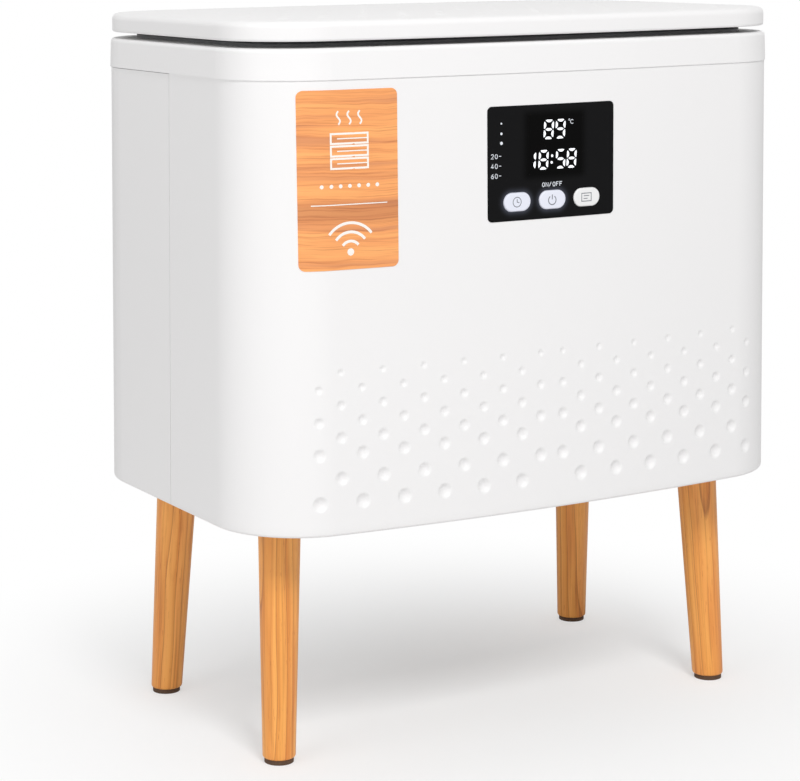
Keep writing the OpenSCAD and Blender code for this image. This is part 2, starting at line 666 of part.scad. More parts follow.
// Hinges
hinge_z = lid_z0 - arm_t / 2;
pad_w = knuckle_w + 2 * ear_t + 22;
pad_y = -front_y(hinge_span / 2 - pad_w / 2, rim_out) + 0.4;
hinge_y = pad_y + hinge_back;
ear_gap = 0.3;
ear_x = knuckle_w / 2 + ear_gap;
bracket_w = 2 * (ear_x + ear_t) + 16;
bracket_screw_x = ear_x + ear_t + 4;
bracket_z0 = rim_z0 + 2;
bracket_z1 = rim_z1 - rim_edge_r - 1.5;
bracket_screw_z = (bracket_z0 + bracket_z1) / 2;
lid_rear_y = half_d + lid_out;
arm_y = -front_y(hinge_span / 2 + knuckle_w / 2, lid_out) - arm_reach;
arm_screw_x = knuckle_w / 4;
arm_screw_y = arm_y + 4.5;
module hinge_brackets() color("white") {
    for (m = [-1, 1]) translate([m * hinge_span / 2, 0, 0]) {
        difference() {
            translate([-bracket_w / 2, pad_y, bracket_z0]) cube([bracket_w, ear_t, bracket_z1 - bracket_z0]);
            for (n = [-1, 1]) translate([n * bracket_screw_x, pad_y - 1, bracket_screw_z]) rotate([-90, 0, 0])
                cylinder(h = ear_t + 2, r = screw_r + fit, $fn = 24);
        }
        for (n = [-1, 1]) translate([n * (ear_x + ear_t / 2), 0, 0]) difference() {
            translate([-ear_t / 2, 0, 0]) rotate([90, 0, 90]) linear_extrude(ear_t) {
                translate([hinge_y, hinge_z]) circle(knuckle_r, $fn = 48);
                polygon([[pad_y, bracket_z0], [pad_y + ear_t, bracket_z0], [hinge_y + knuckle_r, hinge_z],
                    [hinge_y - knuckle_r, hinge_z], [pad_y, bracket_z1]]);
            }
            translate([-ear_t, hinge_y, hinge_z]) rotate([0, 90, 0]) cylinder(h = 2 * ear_t, r = pin_r, $fn = 48);
        }
    }
}
module hinge_bracket_screws() color("silver") {
    for (m = [-1, 1], n = [-1, 1]) translate([m * hinge_span / 2 + n * bracket_screw_x, pad_y - 6, bracket_screw_z])
        rotate([-90, 0, 0]) screw(6 + ear_t, head = 2.75);
}
module hinge_arms() color("white") {
    for (m = [-1, 1]) translate([m * hinge_span / 2, 0, 0]) difference() {
        union() {
            translate([-knuckle_w / 2, arm_y, lid_z0 - arm_t]) cube([knuckle_w, hinge_y - arm_y, arm_t]);
            translate([-knuckle_w / 2, hinge_y, hinge_z]) rotate([0, 90, 0]) cylinder(h = knuckle_w, r = knuckle_r, $fn = 48);
        }
        translate([-knuckle_w, hinge_y, hinge_z]) rotate([0, 90, 0]) cylinder(h = 2 * knuckle_w, r = pin_r + pin_gap, $fn = 48);
        for (n = [-1, 1]) translate([n * arm_screw_x, arm_screw_y, lid_z0 - arm_t - 1])
            cylinder(h = arm_t + 2, r = screw_r + fit, $fn = 24);
    }
}
module hinge_arm_screws() color("silver") {
    for (m = [-1, 1], n = [-1, 1]) translate([m * hinge_span / 2 + n * arm_screw_x, arm_screw_y, lid_z0 - arm_t]) {
        translate([0, 0, -eps]) cylinder(h = arm_t + liner_t + 4 + eps, r = screw_r, $fn = 24);
        translate([0, 0, -1.2]) cylinder(h = 1.2, r = 2.75, $fn = 32);
    }
}
module hinge_pins() color("silver") {
    length = 2 * (ear_x + ear_t);
    for (m = [-1, 1]) translate([m * hinge_span / 2 - length / 2, hinge_y, hinge_z]) rotate([0, 90, 0]) {
        cylinder(h = length, r = pin_r, $fn = 48);
        translate([0, 0, -1.2]) cylinder(h = 1.2 + eps, r = pin_r + 1.2, $fn = 48);
    }
}

// Control panel
module pill(w, h) {
    square([w - h, h], center = true);
    for (m = [-1, 1]) translate([m * (w - h) / 2, 0]) circle(h / 2, $fn = 48);
}
module panel_window() color("black") {
    difference() {
        intersection() {
            skin(window_proud, window_proud - window_t);
            panel_place() along_y(-half_d - 5, panel_y + 12) rounded(panel_w, panel_h, panel_r);
        }
        for (i = [-1:1]) panel_place(i * button_pitch, button_dz) along_y(-half_d - 5, panel_y + 12)
            pill(button_w, button_h);
    }
}
module panel_housing() color("whitesmoke") {
    intersection() {
        panel_place() along_y(-half_d - 5, housing_back) difference() {
            rounded(panel_w, panel_h, panel_r);
            rounded(panel_w - 2 * housing_wall, panel_h - 2 * housing_wall, panel_r - 1);
        }
        skin(window_proud - window_t - 0.05, -24);
    }
    difference() {
        panel_place() {
            along_y(housing_back - housing_wall, housing_back) rounded(panel_w - 1, panel_h - 1, panel_r);
            along_y(flange_back, flange_back + 2) difference() {
                rounded(housing_w, housing_h, 4);
                rounded(panel_w - 2 * housing_wall, panel_h - 2 * housing_wall, panel_r - 1);
                for (m = [-1, 1], n = [-1, 1]) translate([m * screw_x, n * screw_dz]) circle(screw_r + fit, $fn = 24);
            }
            for (m = [-1, 1], n = [-1, 1]) translate([m * (panel_w / 2 - 8), board_y + board_t, n * (panel_h / 2 - 8)])
                rotate([-90, 0, 0]) cylinder(h = housing_back - board_y - board_t - 0.5, r = 2.6, $fn = 32);
        }
        panel_place(ribbon_x, ribbon_dz) translate([0, housing_back - 3, 0]) cube([ribbon_w + 1, 10, 3], center = true);
    }
}
module panel_screws() color("silver") {
    for (m = [-1, 1], n = [-1, 1]) panel_place(m * screw_x, n * screw_dz) translate([0, flange_back - 4, 0])
        rotate([-90, 0, 0]) screw(6, head = 2.75);
}
module control_board() color("darkgreen") {
    panel_place() along_y(board_y, board_y + board_t) square([panel_w - 2 * housing_wall - 1, panel_h - 2 * housing_wall - 1], center = true);
}
display_w = 66;
display_h = 38;
display_dz = 11;
module display_module() color("dimgray") {
    panel_place(0, display_dz) along_y(board_y - 4, board_y) square([display_w, display_h], center = true);
}
switch_h = 2.8;
plunger_r = 1.4;
module switches() color("gray") {
    for (i = [-1:1]) panel_place(i * button_pitch, button_dz) difference() {
        translate([-3, board_y - switch_h, -3]) cube([6, switch_h, 6]);
        translate([0, board_y - switch_h - 1, 0]) rotate([-90, 0, 0]) cylinder(h = 3, r = plunger_r + 0.4, $fn = 32);
    }
}
module button(i) color("white") {
    front = front_y(i * button_pitch, wall_out(shell_z0 + panel_z + button_dz) + window_proud + button_proud);
    panel_place(i * button_pitch, button_dz) {
        along_y(front, flange_y + eps) pill(button_w - 2 * button_gap, button_h - 2 * button_gap);
        along_y(flange_y, flange_y + 1) pill(button_w + 3, button_h + 3);
        translate([0, flange_y + 1 - eps, 0]) rotate([-90, 0, 0]) cylinder(h = 2 + eps, r = plunger_r, $fn = 32);
    }
}
module time_button() button(-1);
module power_button() button(0);
module delay_button() button(1);

// Thin wood print sticker on the front shell
module wood_sticker() color("goldenrod") {
    z = shell_z0 + sticker_z;
    intersection() {
        around() sloped(sticker_t, 0, z - sticker_h, z + sticker_h);
        translate([-sticker_x, 0, z]) along_y(-half_d - 5, 0) rounded(sticker_w, sticker_h, sticker_r);
    }
}

// Power electrics in the base, and the wiring to the panel
module power_board() color("darkgreen") {
    translate([-board_w / 2, board_mid_y - board_d / 2, board_z]) difference() {
        cube([board_w, board_d, board_t]);
        for (x = [6, board_w - 6], y = [6, board_d - 6]) translate([x, y, -1]) cylinder(h = 4, r = screw_r + fit, $fn = 24);
    }
}
board_top = board_z + board_t;
module board_screws() color("silver") {
    for (sx = [-1, 1], sy = [-1, 1]) translate([sx * (board_w / 2 - 6), board_mid_y + sy * (board_d / 2 - 6), board_top - 8])
        screw(8, head = 2.75);
}
module transformer() color("gold") {
    translate([-44, board_mid_y - 14, board_top]) {
        cube([30, 26, 3]);
        translate([3, 4, 3]) cube([24, 18, 16]);
        translate([0, 0, 19]) cube([30, 26, 3]);
    }
}
module relay() color("royalblue") {
    translate([0, board_mid_y - 26, board_top]) cube([19, 15, 15.5]);
}
module capacitors() color("black") {
    for (p = [[8, 10, 5, 18], [24, 10, 5, 18], [-54, 6, 4, 12]])
        translate([p.x, board_mid_y + p.y, board_top]) cylinder(h = p[3], r = p[2], $fn = 48);
}
module terminal_block() color("limegreen") {
    translate([34, board_mid_y + 8, board_top]) difference() {
        cube([20, 12, 10]);
        for (i = [0:2]) translate([4 + 6 * i, 6, 4]) cylinder(h = 10, r = 1.8, $fn = 24);
    }
}
ribbon_w = 14;
ribbon_x = 7;
ribbon_dz = -22;
ribbon_t = 0.8;
ribbon_y = (housing_back - (half_d + wool_out)) / 2;
module ribbon_cable() color("lightgray") {
    z = shell_z0 + panel_z + ribbon_dz;
    y0 = ribbon_y - ribbon_t / 2;
    y1 = board_mid_y - board_d / 2 + 6;
    translate([0, y0, board_top]) cube([ribbon_w, y1 - y0, ribbon_t]);
    translate([0, y0, board_top]) cube([ribbon_w, ribbon_t, z - board_top]);
    translate([0, board_y + board_t, z - ribbon_t]) cube([ribbon_w, ribbon_y + ribbon_t / 2 - board_y - board_t, ribbon_t]);
}
module heater_leads() color("firebrick") {
    for (p = [[58, -12], [58, -18], [-40, -20]]) translate([p.x, board_mid_y + p.y, board_top])
        cylinder(h = tank_z0 - heater_t - board_top, r = 1.1, $fn = 24);
}
gland_r = cord_r + 2.4;
gland_len = 14;
module cord_gland() color("black") {
    y = half_d + 0.1;
    translate([0, 0, shell_z0 + gland_z]) rotate([-90, 0, 0]) difference() {
        union() {
            translate([0, 0, y + 2 - gland_len]) cylinder(h = gland_len, r = gland_r, $fn = 64);
            translate([0, 0, y]) cylinder(h = 2, r = gland_r + 2.5, $fn = 64);
            translate([0, 0, half_d - wall - 3.2]) cylinder(h = 2, r = gland_r + 2, $fn = 64);
        }
        translate([0, 0, half_d - 30]) cylinder(h = 60, r = cord_r + 0.2, $fn = 64);
    }
}

// The hinges reach further back than the case, so the whole is moved forward to centre its box
origin_back = round(5 * (hinge_y + knuckle_r - half_d)) / 10;
translate([0, -origin_back, 0]) {
    front_shell();
    rear_shell();
    top_rim();
    tank_collar();
    inner_tank();
    heating_film();
    insulation_wrap();
    base_heater();
    base_plate();
    base_screws();
    shell_screws();
    lid_cover();
    lid_liner();
    lid_insulation();
    lid_gasket();
    lid_screws();
    hinge_brackets();
    hinge_bracket_screws();
    hinge_arms();
    hinge_arm_screws();
    hinge_pins();
    panel_window();
    panel_housing();
    panel_screws();
    control_board();
    display_module();
    switches();
    time_button();
    power_button();
    delay_button();
    wood_sticker();
    leg_front_left();
    leg_front_right();
    leg_rear_left();
    leg_rear_right();
    foot_pads();
    leg_bolts();
    leg_plates();
    leg_plate_screws();
    power_board();
    transformer();
    relay();
    capacitors();
    terminal_block();
    board_screws();
    thermal_cutoff();
    temperature_sensor();
    ribbon_cable();
    heater_leads();
    cord_gland();
}
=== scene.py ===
# %% [markdown]
# # Towel warmer bucket
# A heated bin with white moulded walls, a flat hinged lid, a black panel with three keys and four turned
# wooden legs. The measured parts come ready made; this lesson gives them their finishes and adds what
# only the eye needs: soft dimples, wood grain, lit digits, key icons and the print on the sticker.
# %% Setting up
import math

import bpy
import numpy as np
from mathutils import Matrix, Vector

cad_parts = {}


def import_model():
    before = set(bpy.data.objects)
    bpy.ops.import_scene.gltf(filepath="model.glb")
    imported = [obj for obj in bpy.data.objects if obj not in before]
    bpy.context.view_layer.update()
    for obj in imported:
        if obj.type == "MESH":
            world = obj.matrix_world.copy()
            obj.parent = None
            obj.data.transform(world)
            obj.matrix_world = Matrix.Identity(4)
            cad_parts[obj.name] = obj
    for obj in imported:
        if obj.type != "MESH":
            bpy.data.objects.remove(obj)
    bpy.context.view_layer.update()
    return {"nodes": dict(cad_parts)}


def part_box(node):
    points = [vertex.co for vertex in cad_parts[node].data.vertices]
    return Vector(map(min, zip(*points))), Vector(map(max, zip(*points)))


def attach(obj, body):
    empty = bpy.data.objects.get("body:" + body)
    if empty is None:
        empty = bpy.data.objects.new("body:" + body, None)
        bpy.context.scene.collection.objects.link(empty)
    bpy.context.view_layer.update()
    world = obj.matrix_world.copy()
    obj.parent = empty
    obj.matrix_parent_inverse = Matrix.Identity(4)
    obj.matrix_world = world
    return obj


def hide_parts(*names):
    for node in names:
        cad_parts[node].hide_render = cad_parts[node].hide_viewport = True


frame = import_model()
nodes = frame["nodes"]
MM = 0.001

# %% [markdown]
# ## Small tools
# Colours are written as they look on screen and turned linear in one place. Shader trees are built
# with one function, so that every material below reads as a short list of what it is made of.
# %% Colours and shader nodes


def linear(code):
    """The linear colour of a screen colour such as #EDEDEE."""
    parts = [int(code[i:i + 2], 16) / 255 for i in (1, 3, 5)]
    return tuple(p / 12.92 if p <= 0.04045 else ((p + 0.055) / 1.055) ** 2.4 for p in parts) + (1.0,)


def add(tree, kind, inputs=None, stops=None, **settings):
    """One shader node; an input that is another node's output is linked, any other value is set."""
    node = tree.nodes.new("ShaderNode" + kind)
    for key, value in settings.items():
        setattr(node, key, value)
    if stops:
        ramp = node.color_ramp
        while len(ramp.elements) < len(stops):
            ramp.elements.new(0.5)
        for element, (place, code) in zip(ramp.elements, stops):
            element.position = place
            element.color = linear(code)
    for key, value in (inputs or {}).items():
        if isinstance(value, bpy.types.NodeSocket):
            tree.links.new(value, node.inputs[key])
        else:
            node.inputs[key].default_value = value
    return node


def bare_tree(owner):
    """The emptied shader tree of a material or a world."""
    owner.use_nodes = True
    owner.node_tree.nodes.clear()
    return owner.node_tree


def surface(name, **inputs):
    """A new material, its tree and its main shader with the given inputs."""
    material = bpy.data.materials.new(name)
    tree = bare_tree(material)
    named = {key.replace("_", " "): value for key, value in inputs.items()}
    shader = add(tree, "BsdfPrincipled", named)
    add(tree, "OutputMaterial", {0: shader.outputs[0]})
    return material, tree, shader


def cells(*sizes):
    """Scale of a pattern whose cells have the given sizes in millimetres along x, y and z."""
    return tuple(1 / (size * MM) for size in sizes)


def distance(tree, value, middle):
    """How far a coordinate is, either way, from a middle given in millimetres."""
    offset = add(tree, "Math", {0: value, 1: middle * MM}, operation="SUBTRACT").outputs[0]
    return add(tree, "Math", {0: offset}, operation="ABSOLUTE").outputs[0]


def grain_bump(tree, shader, coords, size, height):
    """Fine unevenness: a noise of the given cell size, pressed in to the given height, both in mm."""
    noise = add(tree, "TexNoise", {"Vector": coords, "Scale": 1 / (size * MM), "Detail": 2.0,
                                   "Roughness": 0.55})
    bump = add(tree, "Bump", {"Height": noise.outputs["Fac"], "Distance": height * MM, "Strength": 1.0})
    tree.links.new(bump.outputs[0], shader.inputs["Normal"])


def uneven_gloss(tree, shader, pattern, roughness, shift):
    """Lets a pattern from 0 to 1 move the roughness by up to the shift, down and up."""
    gloss = add(tree, "MapRange", {"Value": pattern, "To Min": roughness - shift,
                                   "To Max": roughness + shift})
    tree.links.new(gloss.outputs[0], shader.inputs["Roughness"])


print("tools ready")

# %% [markdown]
# ## Plastics
# The walls, rim and lid are injection moulded in one warm white plastic with a fine satin spark
# texture. The collar between rim and lid is the same plastic in dark grey, the inside parts are
# plainer. None of them conducts, so colour, roughness and fine texture tell them apart.
# %% Plastics
GLOSS_PATCH = 45.45


def plastic(name, code, roughness, size=0.6, height=0.004, shift=0.02):
    """A moulded plastic; its gloss also wanders a little over patches of GLOSS_PATCH millimetres."""
    material, tree, shader = surface(name, Base_Color=linear(code), Roughness=roughness, IOR=1.5)
    coords = add(tree, "TexCoord").outputs["Object"]
    grain_bump(tree, shader, coords, size, height)
    slow = add(tree, "TexNoise", {"Vector": coords, "Scale": 1 / (GLOSS_PATCH * MM), "Detail": 3.0})
    uneven_gloss(tree, shader, slow.outputs["Fac"], roughness, shift)
    return material


finishes = {
    # Satin white of the outer case: bright, with soft broad highlights
    "case_white": plastic("moulded_white_satin", "#EEEDED", 0.40),
    # Dark grey collar, a quiet matte ring between two white ones
    "collar_grey": plastic("moulded_dark_grey", "#707072", 0.5),
    # Plain white of the base and the liner, a little greyer than the case
    "base_white": plastic("moulded_white_plain", "#DFDFDE", 0.55),
    # Black of the housing, gland and small electric parts
    "housing_black": plastic("moulded_black_matte", "#1C1C1E", 0.6),
    # Soft rubber of the gasket, with hardly any shine
    "rubber_grey": plastic("rubber_dark_grey", "#2E2E30", 0.82, size=0.9, height=0.01),
    # Brown rubber of the pads, so that the feet seem to end in wood
    "pad_brown": plastic("rubber_brown", "#57402F", 0.8, size=0.9, height=0.01),
    # Grey carrier that holds the lit bars behind the window
    "display_grey": plastic("display_carrier_grey", "#3C3D40", 0.5),
    # Blue box of the relay, a strong colour with a soft gloss
    "relay_blue": plastic("relay_case_blue", "#2A5FA8", 0.45),
    # Nylon of the terminal block, green and a little waxy
    "terminal_green": plastic("terminal_block_green", "#3C8F4A", 0.5),
    # Flat ribbon cable, plain grey
    "cable_grey": plastic("flat_cable_grey", "#8E9094", 0.55),
    # Sleeve of the heater leads, rust red with hardly any gloss
    "lead_red": plastic("lead_sleeve_red", "#9A2A22", 0.5),
    # Mineral wool: a dull fibre mat with a coarse loose surface
    "insulation": plastic("mineral_wool_mat", "#CFC9BB", 0.95, size=4.0, height=0.6, shift=0.04),
    # Amber heating film behind the chamber wall, smooth and shiny
    "film": plastic("heating_film_amber", "#A8641C", 0.3),
    # Lacquered circuit boards, green with a slight unevenness over the copper
    "board_green": plastic("circuit_board_green", "#1F6238", 0.4, size=2.0, height=0.01),
}
print(len(finishes), "plastics")

# %% [markdown]
# ## Metals
# The chamber is pressed from aluminium sheet, the hinges and screws are zinc plated steel. Rolling
# leaves the sheet finely streaked along its length, which is a noise stretched many times one way.
# %% Metals


def metal(name, code, roughness, stretch=(1.0, 1.0, 1.0), size=3.0, shift=0.08):
    """A bare metal whose gloss follows a noise of the size in mm that may be stretched along one axis."""
    material, tree, shader = surface(name, Base_Color=linear(code), Metallic=1.0, Roughness=roughness)
    coords = add(tree, "Mapping", {"Vector": add(tree, "TexCoord").outputs["Object"], "Scale": stretch})
    noise = add(tree, "TexNoise", {"Vector": coords.outputs[0], "Scale": 1 / (size * MM), "Detail": 4.0})
    uneven_gloss(tree, shader, noise.outputs["Fac"], roughness, shift)
    bump = add(tree, "Bump", {"Height": noise.outputs["Fac"], "Distance": 0.006 * MM})
    tree.links.new(bump.outputs[0], shader.inputs["Normal"])
    return material


finishes.update({
    # Pressed aluminium of the chamber, streaked upright
    "tank_metal": metal("aluminium_rolled", "#E2E3E5", 0.40, stretch=(1.0, 1.0, 0.06)),
    # Cast aluminium of the heater block, rougher
    "heater_metal": metal("aluminium_cast", "#A9AAAC", 0.5),
    # Zinc plated steel of hinges, plates and screws
    "steel": metal("steel_zinc_plated", "#B9BBBD", 0.32),
    # Laminated core of the transformer
    "core_steel": metal("steel_core_laminated", "#77736A", 0.55, stretch=(1.0, 1.0, 12.0)),
})
print("metals ready")

# %% [markdown]
# ## Turned wood
# The legs are beech with a honey coloured lacquer. Each was turned from its own blank, so the rings
# are kept in the leg's own measure: across, across and along. The rings run nearly along the leg and
# only cut the surface where it tapers, which gives long arches near the foot. Narrow streaks, broad
# reddish bands and short dark pores lie over them, each a noise that is drawn out along the leg.
# %% Wood of the legs
# Ring width in mm, the blank's place off the tree's heart in m, and how slowly rings change along it
RING, HEART, RING_RISE = 5.067, (0.021, 0.006, 0.0), 0.035
# Cells across, across and along in mm; the pores are drawn wider than real ones, so that they show
PORES, STREAKS = (0.3846, 0.3846, 11.11), (1.3158, 1.3158, 111.1)
BROAD, WARP = (7.692, 7.692, 125.0), (33.33, 33.33, 200.0)
WANDER = 9.0


def wood():
    """Rings and pores that read the leg's own coordinates, kept as the attribute called grain."""
    material, tree, shader = surface("beech_honey_lacquer", IOR=1.5, Coat_Weight=0.15, Coat_Roughness=0.3)
    grain = add(tree, "Attribute", attribute_name="grain").outputs["Vector"]
    warp = add(tree, "TexNoise", {"Vector": add(tree, "Mapping", {
        "Vector": grain, "Scale": cells(*WARP)}).outputs[0], "Scale": 1.0, "Detail": 2.0})
    bent = add(tree, "VectorMath", {0: warp.outputs["Color"], 1: (WANDER * MM, WANDER * MM, 0.0)},
               operation="MULTIPLY")
    coords = add(tree, "VectorMath", {0: grain, 1: bent.outputs[0]}, operation="ADD").outputs[0]
    # The ring wave repeats each time its scaled distance grows by a tenth of pi
    rings = add(tree, "TexWave", {"Vector": add(tree, "Mapping", {
        "Vector": coords, "Location": HEART, "Scale": (1.0, 1.0, RING_RISE)}).outputs[0],
        "Scale": math.pi / 10 / (RING * MM), "Distortion": 0.5, "Detail": 2.0, "Detail Scale": 1.2},
        wave_type="RINGS", rings_direction="Z", wave_profile="SAW")
    pores = add(tree, "TexNoise", {"Vector": add(tree, "Mapping", {
        "Vector": grain, "Scale": cells(*PORES)}).outputs[0], "Scale": 1.0, "Detail": 2.0})
    streaks = add(tree, "TexNoise", {"Vector": add(tree, "Mapping", {
        "Vector": coords, "Scale": cells(*STREAKS)}).outputs[0], "Scale": 1.0, "Detail": 3.0})
    broad = add(tree, "TexNoise", {"Vector": add(tree, "Mapping", {
        "Vector": coords, "Scale": cells(*BROAD)}).outputs[0], "Scale": 1.0, "Detail": 1.0})
    tone = add(tree, "ValToRGB", {"Fac": rings.outputs["Fac"]}, stops=[
        (0.0, "#FBB25A"), (0.6, "#F4A850"), (0.9, "#E89946"), (0.97, "#C8803C"), (1.0, "#F4AA54")])
    streak = add(tree, "ValToRGB", {"Fac": streaks.outputs["Fac"]}, stops=[
        (0.30, "#D6C2B4"), (0.46, "#F6EEE6"), (0.6, "#FFFFFF")])
    mixed = add(tree, "Mix", {"Factor": 0.7, 6: tone.outputs[0], 7: streak.outputs[0]},
                data_type="RGBA", blend_type="MULTIPLY")
    red = add(tree, "ValToRGB", {"Fac": broad.outputs["Fac"]}, stops=[
        (0.34, "#EED2C6"), (0.55, "#FFFFFF"), (1.0, "#FFFFFF")])
    warm = add(tree, "Mix", {"Factor": 0.6, 6: mixed.outputs[2], 7: red.outputs[0]},
               data_type="RGBA", blend_type="MULTIPLY")
    fleck = add(tree, "ValToRGB", {"Fac": pores.outputs["Fac"]}, stops=[
        (0.28, "#B87848"), (0.34, "#FFFFFF"), (1.0, "#FFFFFF")])
    final = add(tree, "Mix", {"Factor": 0.6, 6: warm.outputs[2], 7: fleck.outputs[0]},
                data_type="RGBA", blend_type="MULTIPLY")
    tree.links.new(final.outputs[2], shader.inputs["Base Color"])
    gloss = add(tree, "MapRange", {"Value": streaks.outputs["Fac"], "To Min": 0.50, "To Max": 0.36})
    tree.links.new(gloss.outputs[0], shader.inputs["Roughness"])
    bump = add(tree, "Bump", {"Height": pores.outputs["Fac"], "Distance": 0.00002})
    tree.links.new(bump.outputs[0], shader.inputs["Normal"])
    return material


finishes["leg_wood"] = wood()
print("wood ready")

# %% [markdown]
# ## Printed wood on the sticker
# The sticker carries a photographic print of a plank laid across: pale orange with brown, slightly
# wavy lines and a broader brown band low down. It is flat, so the print has no relief.
# %% Wood print
# Cells across, across and up in mm, and the dark band's height and how far it fades
PRINT_WARP, PRINT_LINES, PRINT_BANDS = 62.5, (62.5, 62.5, 1.1111), (200.0, 200.0, 7.692)
BAND_Z, BAND_NEAR, BAND_FAR = 354.5, 2.0, 9.0


def wood_print():
    """Lines across the sticker from stretched noise and a warped band pattern."""
    material, tree, shader = surface("wood_print_film", Roughness=0.5, IOR=1.45)
    coords = add(tree, "TexCoord").outputs["Object"]
    warp = add(tree, "TexNoise", {"Vector": coords, "Scale": 1 / (PRINT_WARP * MM), "Detail": 3.0})
    bent = add(tree, "VectorMath", {0: warp.outputs["Color"], 1: (0.0, 0.0, WANDER * MM)},
               operation="MULTIPLY")
    along = add(tree, "VectorMath", {0: coords, 1: bent.outputs[0]}, operation="ADD").outputs[0]
    lines = add(tree, "TexNoise", {"Vector": add(tree, "Mapping", {
        "Vector": along, "Scale": cells(*PRINT_LINES)}).outputs[0], "Scale": 1.0, "Detail": 3.0,
        "Roughness": 0.6})
    bands = add(tree, "TexNoise", {"Vector": add(tree, "Mapping", {
        "Vector": along, "Scale": cells(*PRINT_BANDS)}).outputs[0], "Scale": 1.0, "Detail": 2.0})
    tone = add(tree, "ValToRGB", {"Fac": bands.outputs["Fac"]}, stops=[
        (0.34, "#DC9260"), (0.46, "#F2A263"), (0.58, "#FBAE6A"), (1.0, "#FFB673")])
    line = add(tree, "ValToRGB", {"Fac": lines.outputs["Fac"]}, stops=[
        (0.28, "#BFAEB0"), (0.40, "#E6DCDC"), (0.50, "#FFFFFF"), (1.0, "#FFFFFF")])
    mixed = add(tree, "Mix", {"Factor": 0.7, 6: tone.outputs[0], 7: line.outputs[0]},
                data_type="RGBA", blend_type="MULTIPLY")
    height = add(tree, "SeparateXYZ", {0: along}).outputs[2]
    away = distance(tree, height, BAND_Z)
    band = add(tree, "MapRange", {"Value": away, "From Min": BAND_NEAR * MM, "From Max": BAND_FAR * MM,
                                  "To Min": 1.0, "To Max": 0.0}, interpolation_type="SMOOTHSTEP")
    dark = add(tree, "ValToRGB", {"Fac": band.outputs[0]}, stops=[(0.0, "#FFFFFF"), (1.0, "#D4CAD4")])
    final = add(tree, "Mix", {"Factor": 0.85, 6: mixed.outputs[2], 7: dark.outputs[0]},
                data_type="RGBA", blend_type="MULTIPLY")
    tree.links.new(final.outputs[2], shader.inputs["Base Color"])
    return material


finishes["wood_print"] = wood_print()
print("wood print ready")

# %% [markdown]
# ## Panel and keys
# The window is a smoked acrylic plate, nearly black and darkest behind the digits. The left and the
# middle key are lit from behind, and some of that light leaks into the plate round them. This faint
# bluish glow falls off from 5.6 mm to 11.2 mm around the key's middle line; its edge is at 5.8 mm.
# %% Panel, keys and lit segments
KEY_Z, KEY_PITCH = 349.25, 26.0
KEY_W, KEY_H, KEY_EASE = 19.6, 11.6, 0.9
LIT_KEYS, GLOW_NEAR, GLOW_FAR = (-KEY_PITCH, 0.0), 5.6, 11.2
GLOW_FALL, GLOW_STRENGTH = 3.0, 0.10
# The dark field: its middle, and half its width and height where the fade starts and ends
DARK_X, DARK_Z, DARK_W, DARK_H = 2.0, 383.5, (19.0, 26.0), (17.5, 23.5)


def window_black():
    """Black acrylic, darkest round the digits; a glow fades with the distance from the two lit keys."""
    material, tree, shader = surface("acrylic_smoked_black", Roughness=0.22, IOR=1.49,
                                     Specular_IOR_Level=0.06)
    x, _, z = add(tree, "SeparateXYZ", {0: add(tree, "TexCoord").outputs["Object"]}).outputs
    glows = []
    for middle in LIT_KEYS:
        past = add(tree, "Math", {0: distance(tree, x, middle), 1: (KEY_W - KEY_H) / 2 * MM},
                   operation="SUBTRACT").outputs[0]
        past = add(tree, "Math", {0: past, 1: 0.0}, operation="MAXIMUM").outputs[0]
        both = add(tree, "CombineXYZ", {0: past, 1: distance(tree, z, KEY_Z)}).outputs[0]
        far = add(tree, "VectorMath", {0: both}, operation="LENGTH").outputs["Value"]
        near = add(tree, "MapRange", {"Value": far, "From Min": GLOW_NEAR * MM, "From Max": GLOW_FAR * MM,
                                      "To Min": 1.0, "To Max": 0.0}).outputs[0]
        glows.append(add(tree, "Math", {0: near, 1: GLOW_FALL}, operation="POWER").outputs[0])
    total = add(tree, "Math", {0: glows[0], 1: glows[1]}, operation="ADD").outputs[0]
    leak = add(tree, "Math", {0: total, 1: GLOW_STRENGTH}, operation="MULTIPLY").outputs[0]
    tree.links.new(leak, shader.inputs["Emission Strength"])
    shader.inputs["Emission Color"].default_value = linear("#C9D0EC")
    shares = []
    for value, middle, (start, end) in ((x, DARK_X, DARK_W), (z, DARK_Z, DARK_H)):
        shares.append(add(tree, "MapRange", {
            "Value": distance(tree, value, middle), "From Min": start * MM, "From Max": end * MM,
            "To Min": 1.0, "To Max": 0.0}, interpolation_type="SMOOTHSTEP").outputs[0])
    dark = add(tree, "Math", {0: shares[0], 1: shares[1]}, operation="MULTIPLY").outputs[0]
    tint = add(tree, "ValToRGB", {"Fac": dark}, stops=[(0.0, "#141415"), (1.0, "#050505")])
    tree.links.new(tint.outputs[0], shader.inputs["Base Color"])
    return material


def lit(name, code, glow, strength):
    """A translucent white part lit from behind."""
    material, tree, shader = surface(name, Base_Color=linear(code), Roughness=0.4, IOR=1.49,
                                     Emission_Color=linear(glow), Emission_Strength=strength)
    grain_bump(tree, shader, add(tree, "TexCoord").outputs["Object"], 0.8, 0.003)
    return material


# The smoked window, a deep black that takes only soft reflections
finishes["panel_black"] = window_black()
# The two lit keys, a cool white with a faint light of its own
finishes["button_white"] = lit("key_white_lit", "#DADCE6", "#E4E8FF", 0.10)
# The third key, a plainer white with half that light
key_plain = lit("key_white_plain", "#E4E4E4", "#FFFFFF", 0.05)
# Lit digits, the brightest marks on the black
segment_lit = lit("segment_white_lit", "#DDE0E4", "#F4F6FA", 0.55)
# Small signs round the digits, dimmer and greyer
mark_lit = lit("mark_grey_lit", "#B8BCC2", "#DDE0E6", 0.40)
# Grey ink of the icons, quiet on the white keys
icon_ink = surface("icon_ink_grey", Base_Color=linear("#6C7078"), Roughness=0.6)[0]
